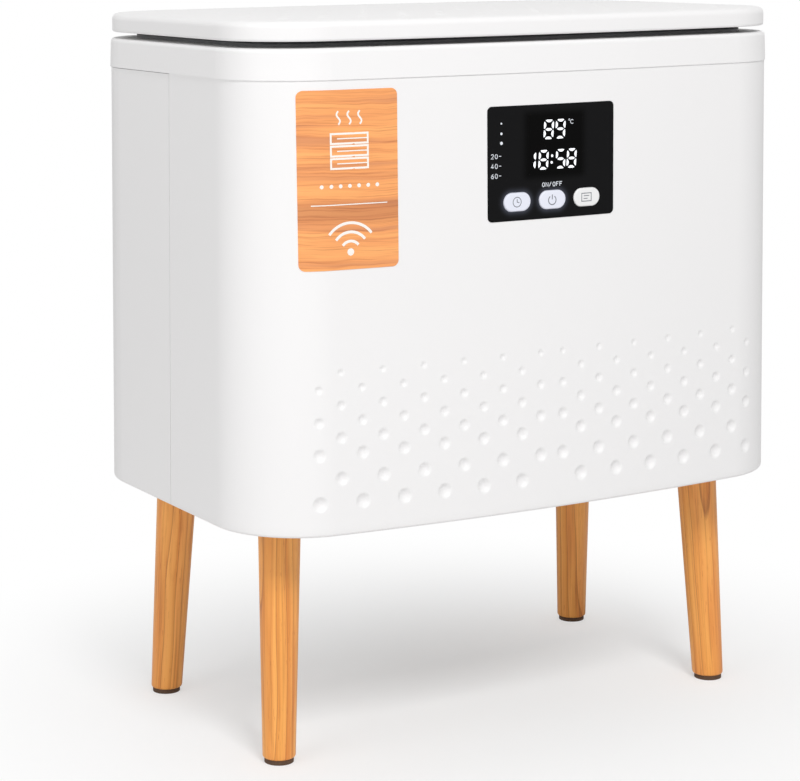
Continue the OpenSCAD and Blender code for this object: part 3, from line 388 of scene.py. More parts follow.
# Opaque warm white ink on the sticker
print_white = surface("print_ink_white", Base_Color=linear("#F6F1EA"), Roughness=0.55)[0]

for name, node in nodes.items():
    slot = "pad_brown" if name == "foot_pads" else node.data.materials[0].name
    node.data.materials.clear()
    node.data.materials.append(finishes[slot])
print("finishes on", len(nodes), "parts")

# %% [markdown]
# ## The outline
# Seen from above, the case is two shallow arcs, two straight ends and four round corners. One
# measure along that line, from the middle of the front and counter-clockwise, tells where a point is
# and which way it faces. Everything that follows the wall is laid out in this measure and in height.
# %% Outline of the case
FRONT_R, FRONT_C = 1605.0, 1470.0
CORNER_R, CORNER_X, CORNER_Y = 58.0, 147.0, 70.0
BACK = -3.7
BEND = math.atan2(CORNER_X, FRONT_C + CORNER_Y)
ARC, TURN, END = FRONT_R * BEND, CORNER_R * (math.pi / 2 - BEND), 2 * CORNER_Y
STEPS = np.cumsum([0, ARC, TURN, END, TURN, 2 * ARC, TURN, END, TURN, ARC])
AROUND = STEPS[-1]
HEADS = np.array([0, BEND, math.pi / 2, math.pi / 2, math.pi - BEND, math.pi + BEND, 3 * math.pi / 2,
                  3 * math.pi / 2, 2 * math.pi - BEND, 2 * math.pi])
CENTRES = np.array([(0, FRONT_C), (CORNER_X, -CORNER_Y), (CORNER_X, -CORNER_Y), (CORNER_X, CORNER_Y),
                    (0, -FRONT_C), (-CORNER_X, CORNER_Y), (-CORNER_X, CORNER_Y), (-CORNER_X, -CORNER_Y),
                    (0, FRONT_C)])
RADII = np.array([FRONT_R, CORNER_R, CORNER_R, CORNER_R, FRONT_R, CORNER_R, CORNER_R, CORNER_R, FRONT_R])
FLAT = np.array([0, 0, 1, 0, 0, 0, 1, 0, 0])
SHELL_Z, SHELL_TOP = 153.0, 428.38
SLOPE = math.tan(math.radians(0.86))


def outline(s):
    """Point and outward direction at the length s along the outline: centre plus radius times direction."""
    s = np.mod(s, AROUND)
    part = np.clip(np.searchsorted(STEPS, s, side="right") - 1, 0, len(RADII) - 1)
    head = np.interp(s, STEPS, HEADS)
    out = np.stack([np.sin(head), -np.cos(head)], -1)
    along = np.stack([np.cos(head), np.sin(head)], -1)
    slide = (s - STEPS[part]) * FLAT[part]
    return CENTRES[part] + RADII[part][..., None] * out + slide[..., None] * along, out


def on_wall(s, offset, z):
    """Points at the length s, the offset outwards from the lower edge's outline and the height z."""
    s, offset, z = np.broadcast_arrays(s, offset, z)
    point, out = outline(s)
    flat = point + offset[..., None] * out
    return np.stack([flat[..., 0], flat[..., 1] + BACK, z], -1)


def wall_offset(z):
    """How far the sloped wall lies inside its lower edge at the height z."""
    return -(z - SHELL_Z) * SLOPE


def front_length(x, offset):
    """Length along the outline of the front point at x."""
    turn = np.arcsin(np.clip(x / (FRONT_R + offset), -1, 1))
    reach = (np.abs(x) - CORNER_X) / (CORNER_R + offset)
    corner = np.sign(x) * (ARC + CORNER_R * (np.arcsin(np.clip(reach, -1, 1)) - BEND))
    return np.where(np.abs(turn) <= BEND, FRONT_R * turn, corner)


print("outline of", round(AROUND, 1), "mm")

# %% [markdown]
# ## From points to pieces
# A surface is a table of points, one row for each place along the outline and one column for each
# place up the section, and its faces join neighbours in that table. Cells can be left out to make an
# opening, whose border is then drawn exactly onto its outline.
# %% Grids and pieces


def grid(rows, columns, closed_rows=False, closed_columns=False):
    """Four-sided faces between neighbours of a table, facing out where the section runs upwards."""
    i, j = np.meshgrid(np.arange(rows - (not closed_rows)), np.arange(columns - (not closed_columns)),
                       indexing="ij")
    i2, j2 = (i + 1) % rows, (j + 1) % columns
    corners = [i * columns + j, i2 * columns + j, i2 * columns + j2, i * columns + j2]
    return np.stack(corners, -1).reshape(-1, 4)


def ruler(stops, steps):
    """Places from stop to stop, as evenly as possible and no further apart than that stretch's step."""
    parts = [np.linspace(a, b, max(2, int(math.ceil((b - a) / step - 1e-6)) + 1))[:-1]
             for a, b, step in zip(stops[:-1], stops[1:], steps)]
    return np.concatenate(parts + [[stops[-1]]])


def border(faces):
    """Edges that only one face has, each from its first to its second point as that face runs."""
    edges = np.concatenate([np.stack([faces[:, k], faces[:, (k + 1) % faces.shape[1]]], -1)
                            for k in range(faces.shape[1])])
    _, where, count = np.unique(np.sort(edges, 1), axis=0, return_index=True, return_counts=True)
    return edges[where[count == 1]]


def room(points, faces):
    """Volume inside closed faces, positive if they face outwards: a sum of corner products."""
    total = 0.0
    for group in faces:
        for k in range(1, group.shape[1] - 1):
            a, b, c = points[group[:, 0]], points[group[:, k]], points[group[:, k + 1]]
            total += np.einsum("ij,ij->", a, np.cross(b, c)) / 6
    return total


def stand(name, data):
    """A new object of the scene with the given mesh, lamp or camera."""
    thing = bpy.data.objects.new(name, data)
    bpy.context.scene.collection.objects.link(thing)
    return thing


def build(name, points, faces, finish, angle=35, closed=False):
    """A mesh object from points in millimetres; flat cells without area are left out."""
    points = np.asarray(points, float).reshape(-1, 3)
    faces = [np.asarray(group) for group in faces]
    if closed and room(points, faces) < 0:
        faces = [group[:, ::-1] for group in faces]
    kept = []
    for group in faces:
        first, second = points[group[:, 2]] - points[group[:, 0]], points[group[:, -1]] - points[group[:, 1]]
        kept += group[np.linalg.norm(np.cross(first, second), axis=1) > 1e-7].tolist()
    mesh = bpy.data.meshes.new(name)
    mesh.from_pydata((points * MM).tolist(), [], kept)
    mesh.validate()
    mesh.shade_smooth()
    mesh.set_sharp_from_angle(angle=math.radians(angle))
    mesh.materials.append(finish)
    return stand(name, mesh)


def place(piece, body, slot, *replaced):
    """Puts a finished piece on its body and hides the measured parts it stands for."""
    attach(piece, body)
    if replaced:
        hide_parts(*replaced)
    print(piece.name, len(piece.data.polygons), "faces on", body)
    return piece


# %% [markdown]
# ## Turned legs
# Each leg is a round taper, 21 mm at the foot and 27 mm at the top, that leans outwards to its
# corner. Its ends are level: the top sits flat under the base and the foot flat on its pad, with the
# edge eased by hand sanding. Every point also stores where it lay in the blank, for the rings.
# %% Legs
FOOT_X, FOOT_Y, FOOT_R, TOP_R = 169.5, 82.0, 10.5, 13.5
LEAN, WAY = 0.07584, (0.6, 0.8)
LEG_Z0, LEG_Z1, LEG_EASE = 3.0, 155.0, 1.6
EASE_ROWS, LEG_ROWS, LEG_SIDES = 6, 26, 72
# How far apart in the tree two blanks lie, across and along, in m for each radian between their turns
BLANK_ACROSS, BLANK_ALONG = 0.03, 0.4


def leg(name, sx, sy, turn):
    """A tapered round: radius grows evenly along the axis; rings are cut level by sliding along it."""
    axis = np.array([-sx * LEAN * WAY[0], -sy * LEAN * WAY[1], math.sqrt(1 - LEAN ** 2)])
    side = np.cross(axis, (0, 1, 0))
    side /= np.linalg.norm(side)
    other = np.cross(axis, side)
    ease = np.radians(np.linspace(90, 0, EASE_ROWS))
    low = LEG_Z0 + LEG_EASE * (1 - np.sin(ease))
    z = np.concatenate([low, np.linspace(low[-1], LEG_Z1, LEG_ROWS)[1:]])
    shrink = np.concatenate([-LEG_EASE * (1 - np.cos(ease)), np.zeros(LEG_ROWS - 1)])
    angle = np.linspace(0, 2 * math.pi, LEG_SIDES, endpoint=False)
    z, a = np.meshgrid(z, angle, indexing="ij")
    radius = FOOT_R + (TOP_R - FOOT_R) * (z - LEG_Z0) / (LEG_Z1 - LEG_Z0) + shrink[:, None]
    across = radius[..., None] * (np.cos(a)[..., None] * side + np.sin(a)[..., None] * other)
    length = (z - across[..., 2]) / axis[2]
    foot = np.array([sx * FOOT_X, sy * FOOT_Y + BACK, 0])
    points = foot + across + length[..., None] * axis
    ends = np.stack([points[0].mean(0), points[-1].mean(0)])
    every = np.concatenate([points.reshape(-1, 3), ends])
    ring = np.arange(LEG_SIDES)
    bottom = np.stack([np.full(LEG_SIDES, len(every) - 2), ring, (ring + 1) % LEG_SIDES], -1)
    base = (points.shape[0] - 1) * LEG_SIDES
    top = np.stack([np.full(LEG_SIDES, len(every) - 1), base + (ring + 1) % LEG_SIDES, base + ring], -1)
    walls = grid(points.shape[0], LEG_SIDES, closed_columns=True)
    piece = build(name, every, [walls, bottom, top], finishes["leg_wood"], angle=50, closed=True)
    reach = every - foot
    blank = np.stack([reach @ side, reach @ other, reach @ axis], -1) * MM
    cosine, sine = math.cos(turn), math.sin(turn)
    blank = np.stack([cosine * blank[:, 0] - sine * blank[:, 1] + BLANK_ACROSS * turn,
                      sine * blank[:, 0] + cosine * blank[:, 1], blank[:, 2] + BLANK_ALONG * turn], -1)
    grain = piece.data.attributes.new("grain", "FLOAT_VECTOR", "POINT")
    grain.data.foreach_set("vector", blank.astype(np.float32).ravel())
    return place(piece, "casing", "leg_wood", name)


leg("leg_front_left", -1, -1, 0.35)
leg("leg_front_right", 1, -1, 1.9)
leg("leg_rear_left", -1, 1, 3.1)
leg("leg_rear_right", 1, 1, 4.4)
print("four legs")

# %% [markdown]
# ## Front shell
# The front half of the wall is one moulding: it curves back from the slightly bowed front round the
# corners to the upright seam. Its lower half is strewn with round dimples that shrink towards the top.
# Each is a bowl about a fifth as deep as it is wide, whose upper side lies in its own soft shade.
# %% Front shell
PANEL_W, PANEL_H, PANEL_R, PANEL_Z, PLAY = 94.0, 70.5, 3.0, 373.0, 0.2
WALL, EDGE_R = 3.0, 2.0
# The inner returns of the lower and the upper edge end here, and the opening's collar is this deep
RETURN_LOW, RETURN_TOP, COLLAR = 167.0, 416.0, 2.9
# The seam stands 5.2 mm before the middle of each straight end
SEAM = ARC + TURN + CORNER_Y - 5.2
# Eight rows: the lowest row's height over the edge, two wide steps and then narrow ones
DIMPLE_ROWS, DIMPLE_Z, WIDE_STEP, ROW_STEP = 8, 20.5, 15, 10
# Columns on either side of the middle, of which each row has every second one
DIMPLE_COLUMNS, DIMPLE_X, DIMPLE_PITCH = 12, 8.4, 14
# Diameters of the lowest and the highest row, and a bowl's depth as a share of its diameter
DIMPLE_WIDE, DIMPLE_SMALL, BOWL = 9.4, 4.2, 0.22
# The dimpled field has fine cells, and so have strips over and under the opening's borders
FIELD_S, FIELD_Z0, FIELD_Z1, STRIP = 172, 167, 258, 4


def rounded_box(x, z, w, h, r):
    """Distance outside a rounded rectangle round the origin, and the direction away from it."""
    qx, qz = np.abs(x) - (w / 2 - r), np.abs(z) - (h / 2 - r)
    corner = (qx > 0) & (qz > 0)
    length = np.where(corner, np.hypot(qx, qz), 1.0)
    away = np.where(corner, length, np.maximum(qx, qz)) - r
    gx = np.where(corner, qx / length, qx >= qz) * np.sign(x)
    gz = np.where(corner, qz / length, qx < qz) * np.sign(z)
    return away, gx, gz


def dimples():
    """Length, height and diameter of the dimples: staggered rows whose diameter shrinks upwards."""
    found = []
    for i in range(DIMPLE_ROWS):
        z = SHELL_Z + DIMPLE_Z + WIDE_STEP * min(i, 2) + ROW_STEP * max(i - 2, 0)
        size = DIMPLE_WIDE + (DIMPLE_SMALL - DIMPLE_WIDE) * i / (DIMPLE_ROWS - 1)
        for j in range((i + 1) % 2, DIMPLE_COLUMNS, 2):
            s = float(front_length(DIMPLE_X + DIMPLE_PITCH * j, wall_offset(z)))
            found += [(s, z, size), (-s, z, size)]
    return found


def section():
    """Offsets and heights up the wall, from return to return, and which of them lie on the outer face."""
    low, high = PANEL_Z - PANEL_H / 2, PANEL_Z + PANEL_H / 2
    edge = SHELL_Z + EDGE_R
    z = ruler([edge, FIELD_Z0, FIELD_Z1, low - STRIP, low + STRIP, high - STRIP, high + STRIP, SHELL_TOP],
              [4, 0.75, 9, 0.6, 7, 0.6, 6])
    ease = np.radians(np.linspace(-90, 0, 6))[:-1]
    rounded = wall_offset(edge) - EDGE_R * (1 - np.cos(ease))
    offsets = np.concatenate([[wall_offset(RETURN_LOW) - WALL, -WALL], rounded, wall_offset(z),
                              [wall_offset(SHELL_TOP) - WALL, wall_offset(RETURN_TOP) - WALL]])
    heights = np.concatenate([[RETURN_LOW, SHELL_Z], edge + EDGE_R * np.sin(ease), z,
                              [SHELL_TOP, RETURN_TOP]])
    face = np.zeros(len(heights), bool)
    face[2 + len(ease):-2] = True
    return offsets, heights, face


def front_shell():
    """The outer face with its returns: the slope, less a bowl of one minus r squared at each dimple."""
    s = ruler([-SEAM, -ARC - TURN, -FIELD_S, FIELD_S, ARC + TURN, SEAM], [8, 2.4, 0.8, 2.4, 8])
    s = np.concatenate([s[:1], s, s[-1:]])
    offsets, heights, face = section()
    length, height = np.meshgrid(s, heights, indexing="ij")
    offset = np.broadcast_to(offsets, length.shape).copy()
    for ds, dz, d in dimples():
        reach = ((length - ds) ** 2 + (height - dz) ** 2) / (d / 2) ** 2
        offset -= BOWL * d * np.clip(1 - reach, 0, None) * face
    inner = np.minimum(offsets, wall_offset(heights) - WALL)
    offset[0], offset[-1] = inner, inner
    faces = grid(*length.shape)
    flat = on_wall(length, offset, height).reshape(-1, 3)
    hole = (PANEL_W + 2 * PLAY, PANEL_H + 2 * PLAY, PANEL_R + PLAY)
    on_face = np.broadcast_to(face, length.shape).ravel()
    middle = flat[faces].mean(1)
    gone = (rounded_box(middle[:, 0], middle[:, 2] - PANEL_Z, *hole)[0] < 0) & (middle[:, 1] < 0)
    gone &= on_face[faces].all(1)
    edge = np.intersect1d(faces[gone], faces[~gone])
    away, gx, gz = rounded_box(flat[edge, 0], flat[edge, 2] - PANEL_Z, *hole)
    x, z = flat[edge, 0] - away * gx, flat[edge, 2] - away * gz
    lip = front_length(x, wall_offset(z))
    flat[edge] = on_wall(lip, wall_offset(z), z)
    behind = on_wall(lip, wall_offset(z) - COLLAR, z)
    number = np.full(len(flat), -1)
    number[edge] = len(flat) + np.arange(len(edge))
    rim = border(faces[~gone])
    rim = rim[(number[rim] >= 0).all(1)]
    collar = np.stack([rim[:, 1], rim[:, 0], number[rim[:, 0]], number[rim[:, 1]]], -1)
    points = np.concatenate([flat, behind])
    return build("front_shell_skin", points, [faces[~gone], collar], finishes["case_white"], angle=40)


place(front_shell(), "casing", "case_white", "front_shell")

# %% [markdown]
# ## Keys
# Three translucent keys stand a little proud of the window. Each is an oblong pad with an eased edge,
# moulded with a flange that keeps it behind the window, and it moves on its own.
# %% Keys
KEYS = {"time_button": ("time_key", -KEY_PITCH), "power_button": ("power_key", 0.0),
        "delay_button": ("delay_key", KEY_PITCH)}
# The flange's front, its thickness and how far it stands out round the key
FLANGE_Y, FLANGE_T, FLANGE_OUT = -133.10, 1.0, 1.7
# Two more rings on the flat face, drawn in this far, and the points on half an oblong
FACE_RING, CORE_RING, HALF_COUNT = 2.4, 5.6, 28


def oblong(inset):
    """Points round an oblong drawn in by inset: two half circles and the straights between them."""
    a = np.radians(np.concatenate([np.linspace(-90, 90, HALF_COUNT), np.linspace(90, 270, HALF_COUNT)]))
    side = np.where(np.arange(2 * HALF_COUNT) < HALF_COUNT, 1, -1) * (KEY_W - KEY_H) / 2
    return np.stack([side + (KEY_H / 2 - inset) * np.cos(a), (KEY_H / 2 - inset) * np.sin(a)], -1)


def key(name, body, x):
    """Rings of one oblong drawn in or out, from the flange's back round the eased edge to the face."""
    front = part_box(name)[0].y / MM
    back = FLANGE_Y + FLANGE_T
    rows = [(CORE_RING, back), (-FLANGE_OUT, back), (-FLANGE_OUT, FLANGE_Y), (0, FLANGE_Y)]
    for t in np.radians(np.linspace(0, 90, 7)):
        rows.append((KEY_EASE * (1 - math.cos(t)), front + KEY_EASE * (1 - math.sin(t))))
    rows += [(FACE_RING, front), (CORE_RING, front)]
    rings = np.array([[(x + u, y, KEY_Z + v) for u, v in oblong(inset)] for inset, y in rows])
    count = rings.shape[1]
    walls = grid(len(rows), count, closed_columns=True)
    caps = np.stack([np.arange(count)[::-1], (len(rows) - 1) * count + np.arange(count)])
    finish = key_plain if name == "delay_button" else finishes["button_white"]
    piece = build(body + "_cap", rings, [walls, caps], finish, angle=40, closed=True)
    return place(piece, body, "button_white", name)


for node_name, (body_name, key_x) in KEYS.items():
    key(node_name, body_name, key_x)

# %% [markdown]
# ## Lines and digits
# Icons, digits and the sticker's print are flat ink or light, so each is a thin flat mesh that lies a
# few hundredths of a millimetre before its carrier and follows the carrier's curve.
# %% Drawing tools
# Least cosine at a joint, so that a sharp bend widens a line to no more than twice its width
SHARPEST = 0.5
DOT_SIDES, DOT_CORE = 20, 0.02
# How far window and sticker stand out from the wall, and ink or light before them
WINDOW_OUT, STICKER_OUT, BEFORE = 0.20, 0.25, 0.05


def ribbon(path, width, closed=False):
    """Corners and faces of a line of even width along a path, each joint cut square to the bend."""
    path = np.asarray(path, float)
    ahead = np.roll(path, -1, 0) - path
    behind = path - np.roll(path, 1, 0)
    if not closed:
        ahead[-1], behind[0] = behind[-1], ahead[0]
    ahead /= np.linalg.norm(ahead, axis=1)[:, None]
    behind /= np.linalg.norm(behind, axis=1)[:, None]
    normal = np.stack([-(ahead + behind)[:, 1], (ahead + behind)[:, 0]], -1)
    normal /= np.linalg.norm(normal, axis=1)[:, None]
    straight = np.stack([-ahead[:, 1], ahead[:, 0]], -1)
    reach = width / 2 / np.clip((normal * straight).sum(1), SHARPEST, 1)
    sides = np.stack([path + normal * reach[:, None], path - normal * reach[:, None]], 1)
    return sides.reshape(-1, 2), grid(len(path), 2, closed_rows=closed)[:, ::-1]


def circle(x, z, r, start=0, end=360, count=40):
    """Points on a circle between two angles in degrees."""
    a = np.radians(np.linspace(start, end, count, endpoint=end - start < 360))
    return np.stack([x + r * np.cos(a), z + r * np.sin(a)], -1)


def disc(x, z, r):
    """A filled round dot as one ring of thin faces round its middle."""
    outer = circle(x, z, r, count=DOT_SIDES)
    inner = circle(x, z, r * DOT_CORE, count=DOT_SIDES)
    return np.stack([inner, outer], 1).reshape(-1, 2), grid(DOT_SIDES, 2, closed_rows=True)


def rectangle(x0, z0, x1, z1):
    """Closed path round a rectangle."""
    return [(x0, z0), (x1, z0), (x1, z1), (x0, z1)]


def before(carrier_out, x0=0.0, z0=0.0):
    """The lift from drawing to space: points from x0 and z0, just before a carrier that follows the wall."""
    def lift(x, z):
        z = z + z0
        offset = wall_offset(z) + carrier_out + BEFORE
        return on_wall(front_length(x + x0, offset), offset, z)
    return lift


def flat_piece(name, parts, lift, finish, body, slot):
    """One mesh of flat parts; lift turns x and z into points just before the carrier."""
    corners, faces, start = [], {}, 0
    for points, numbers in parts:
        corners.append(points)
        faces.setdefault(numbers.shape[1], []).append(np.asarray(numbers) + start)
        start += len(points)
    flat = np.concatenate(corners)
    points = lift(flat[:, 0], flat[:, 1])
    turned = []
    for groups in faces.values():
        group = np.concatenate(groups)
        a, b, c = points[group[:, 0]], points[group[:, 1]], points[group[:, 2]]
        away = np.cross(b - a, c - a)[:, 1] > 0
        group[away] = group[away][:, ::-1]
        turned.append(group)
    piece = build(name, points, turned, finish)
    return place(piece, body, slot)


print("drawing tools ready")

# %% [markdown]
# ## Figures and signs
# A seven-bar figure leans a little to the right. Its bars end in slants and bulge inwards, and a thin
# dark gap parts them. The small plain signs are strokes in a box about 1 wide and 1.6 high.
# %% Figures and signs
SEGMENTS = {"a": ((0, 1), (1, 1)), "b": ((1, 1), (1, 0.5)), "c": ((1, 0.5), (1, 0)), "d": ((1, 0), (0, 0)),
            "e": ((0, 0), (0, 0.5)), "f": ((0, 0.5), (0, 1)), "g": ((0, 0.5), (1, 0.5))}
FIGURES = {"1": "bc", "5": "afgcd", "8": "abcdefg", "9": "abcdfg"}
FIGURE_H, SLANT, BAR, GAP = 10.4, 0.065, 1.7, 0.24
# Places along a bar and how far each side lies from its line there, as shares of length and width
PLACES = np.array([0, 0.12, 0.3, 0.5, 0.7, 0.88, 1])
BULGE = np.array([0.22, -0.12, -0.42, -0.5, -0.42, -0.12, 0.22])
ROUND = np.array([0.34, 0.46, 0.5, 0.5, 0.5, 0.46, 0.34])
SPINDLE = np.array([0.05, 0.3, 0.46, 0.5, 0.46, 0.3, 0.05])
OVAL = [(0.5 + 0.5 * u, 0.8 + 0.8 * v) for u, v in circle(0, 0, 1, 90, 450, 21)]
SIGNS = {"O": [OVAL], "0": [OVAL], "N": [[(0, 0), (0, 1.6), (1, 0), (1, 1.6)]], "/": [[(0, 0), (0.8, 1.7)]],
         "F": [[(0, 0), (0, 1.6), (1, 1.6)], [(0, 0.85), (0.8, 0.85)]],
         "2": [[(0, 1.3), (0.3, 1.6), (0.75, 1.6), (1, 1.25), (0.9, 0.9), (0, 0), (1, 0)]],
         "4": [[(1.1, 0.45), (0, 0.45), (0.7, 1.6), (0.7, 0)]],
         "6": [[(0.8, 1.6), (0.3, 1.1), (0, 0.5), (0.25, 0), (0.8, 0), (1, 0.45), (0.75, 0.9), (0.2, 0.85)]]}


def segment(p, q, middle):
    """A lit bar between two corners, outer side left of the way; the middle bar is even on both sides."""
    p, q = np.asarray(p, float), np.asarray(q, float)
    along = (q - p) / np.linalg.norm(q - p)
    p, q = p + along * BAR * GAP, q - along * BAR * GAP
    outer, inner = (SPINDLE, -SPINDLE) if middle else (ROUND, BULGE)
    line = p + PLACES[:, None] * (q - p)
    side = np.array([-along[1], along[0]]) * BAR
    both = np.stack([line + side * outer[:, None], line + side * inner[:, None]], 1)
    return both.reshape(-1, 2), grid(len(PLACES), 2)[:, ::-1]


def figure(sign, x, z, w):
    """The lit bars of a figure of the width w whose lower left corner is at x, z."""
    parts = []
    for name in FIGURES[sign]:
        ends = [(x + u * w + v * FIGURE_H * SLANT, z + v * FIGURE_H) for u, v in SEGMENTS[name]]
        parts.append(segment(*ends, name == "g"))
    return parts


def sign_lines(sign, x, z, wide, tall, width):
    """The strokes of a plain sign whose lower left corner is at x, z."""
    return [ribbon([(x + u * wide, z + v * tall) for u, v in stroke], width) for stroke in SIGNS[sign]]


print(len(FIGURES), "figures and", len(SIGNS), "signs")

# %% [markdown]
# ## Display
# Behind the window lie lit bars: two figures with a unit sign for the heat and four for the time, three
# dots for the heat steps and plain numbers for the minutes, of which one is chosen at a time.
# %% Display
# For each row: the height of its foot, the width of a figure, and the figures with their left edges
FIGURE_ROWS = ((387.6, 5.7, (("8", -5.7), ("9", 3.0))),
               (369.0, 5.6, (("1", -18.9), ("8", -9.6), ("5", 3.2), ("8", 11.5))))
COLON = ((-0.4, 372.3), (0.0, 376.4))
DEGREE, UNIT, HEAT_X, HEAT_Z = (12.9, 398.2), (15.0, 396.9), -37.2, (397.9, 391.7, 385.9)
# The minutes: left edges of both signs, ends of the tick behind them, height and step downwards
TENS_X, ONES_X, TICK_X, MINUTES_Z, MINUTES_STEP = -44.6, -41.8, (-39.0, -37.4), 376.6, 6
SMALL, SMALL_LINE, SWITCH_X, SWITCH_Z, SWITCH_STEP = 1.7, 0.4, -7.3, 357.5, 2.6


def display():
    """All lit bars of the display, laid out in millimetres from the middle and from the ground."""
    bright = []
    for z, width, figures in FIGURE_ROWS:
        for sign, x in figures:
            bright += figure(sign, x, z, width)
    bright += [disc(x, z, 0.85) for x, z in COLON]
    flat_piece("display_segments", bright, before(WINDOW_OUT), segment_lit, "casing", "display_grey")
    soft = [ribbon(circle(*DEGREE, 0.45, count=16), 0.32, closed=True),
            ribbon(circle(*UNIT, 1.2, 45, 315, 18), 0.42)]
    for k, (heat_z, tens) in enumerate(zip(HEAT_Z, "246")):
        z = MINUTES_Z - MINUTES_STEP * k
        soft.append(disc(HEAT_X, heat_z, 0.6 + 0.2 * k))
        soft += sign_lines(tens, TENS_X, z, SMALL, SMALL, SMALL_LINE)
        soft += sign_lines("0", ONES_X, z, SMALL, SMALL, SMALL_LINE)
        soft.append(ribbon([(x, z + 1.4) for x in TICK_X], SMALL_LINE))
    for k, sign in enumerate("ON/OFF"):
        soft += sign_lines(sign, SWITCH_X + SWITCH_STEP * k, SWITCH_Z, SMALL, 1.6, 0.46)
    flat_piece("display_marks", soft, before(WINDOW_OUT), mark_lit, "casing", "display_grey")


display()

# %% [markdown]
# ## Key icons
# A clock, the usual on and off sign and a small list tell the keys apart. They are printed in thin
# grey lines and move with their keys.
# %% Key icons
# Half a millimetre left of the key's middle, as printed, and a little before its face
ICON_LEFT, ICON_BEFORE = 0.5, 0.03
# Each icon is drawn from the middle of its key
ICONS = {
    "time_button": [ribbon(circle(0, 0, 3.0), 0.5, closed=True),
                    ribbon([(0, 1.9), (0, 0), (1.6, -0.4)], 0.5)],
    "power_button": [ribbon(circle(0, -0.3, 2.8, 125, 415, 44), 0.6), ribbon([(0, 0.2), (0, 3.2)], 0.6)],
    "delay_button": [ribbon(rectangle(-3.6, -2.5, 3.6, 2.5), 0.5, closed=True),
                     ribbon([(-2.1, 0.9), (2.1, 0.9)], 0.5), ribbon([(-2.1, -0.8), (0.9, -0.8)], 0.5)],
}


def icon(node_name, body, middle):
    """The icon's lines as one flat piece before the face of its key, which is plane."""
    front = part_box(node_name)[0].y / MM - ICON_BEFORE

    def lift(x, z):
        return np.stack([x + middle - ICON_LEFT, np.full_like(x, front), z + KEY_Z], -1)
    return flat_piece(body + "_icon", ICONS[node_name], lift, icon_ink, body, "cable_grey")


for node_name, (body_name, key_x) in KEYS.items():
    icon(node_name, body_name, key_x)

# %% [markdown]
# ## Sticker print
# The print shows plain pictures only: a folded towel under three warm waves, a row of dots, a rule and
# a fan of arcs.
# %% Sticker print
STICKER_X, STICKER_Z = -141.0, 369.0
# The towel's three folds: half their width, height and step; then the waves, the dots, the rule, the fan
FOLD_HALF, FOLD_H, FOLD_STEP, FOLD_Z = 12, 5.8, 7.4, 7
WAVE_Z, WAVE_STEP, DOTS_Z, DOTS_STEP, RULE_Z, RULE_W = 33, 7, -3.5, 6, -14.5, 49
FAN_Z, FAN_RADII = -43, (6.5, 12, 17.5)


def sticker_print():
    """White lines laid out from the sticker's middle; each wave is one turn of a sine."""
    v = np.linspace(0, 1, 24)
    towel = []
    for k in range(3):
        low = FOLD_Z + FOLD_STEP * k
        fold = rectangle(-FOLD_HALF, low, FOLD_HALF, low + FOLD_H)
        towel += [ribbon(fold, 1.2, closed=True),
                  ribbon(np.stack([-8 + 19.4 * v, low + FOLD_H / 2 + 0 * v], -1), 0.7)]
    waves = [ribbon(np.stack([WAVE_STEP * k + 1.1 * np.sin(v * 2 * math.pi), WAVE_Z + 8 * v], -1), 1.1)
             for k in (-1, 0, 1)]
    dots = [disc(DOTS_STEP * k, DOTS_Z, 1.2) for k in range(-3, 4)]
    rule = [ribbon(np.stack([RULE_W * (v - 0.5), RULE_Z + 0 * v], -1), 0.6)]
    fan = [ribbon(circle(0, FAN_Z, r, 38, 142, 30), 1.7) for r in FAN_RADII] + [disc(0, FAN_Z, 2.2)]
    flat_piece("sticker_print", towel + waves + dots + rule + fan, before(STICKER_OUT, STICKER_X, STICKER_Z),
               print_white, "casing", "button_white")


sticker_print()

# %% [markdown]
# ## Studio
# One soft lamp stands before the bin, a little to its left and well above it, a broader and weaker one
# fills its left side, and the pale room does the rest. Near the bin the floor is mostly matte and takes its
# real soft shadow, and over that lies a painted shade: a fixed grey patch, centred a little before the bin,
# where less plain white is mixed in. Further off it turns plain white, to the camera only, and runs into the
# backdrop.
# %% Floor and lamps
FLOOR_HALF = 9.0
# Middle of the painted shade patch on the floor, its least share of plain white, and how far off that share
# is full
SHADE_PATCH_MIDDLE, SHADE_PATCH_LEAST, SHADE_PATCH_RADIUS = (0.0, -0.045, 0), 0.21, 0.46
LAMPS_AIM = (0, 0, 0.3)


def camera_ray(tree, kinds):
    """1 for the given kinds of ray, 0 for all others."""
    path = add(tree, "LightPath")
    total = path.outputs[kinds[0]]
    for kind in kinds[1:]:
        total = add(tree, "Math", {0: total, 1: path.outputs[kind]}, operation="MAXIMUM").outputs[0]
    return total


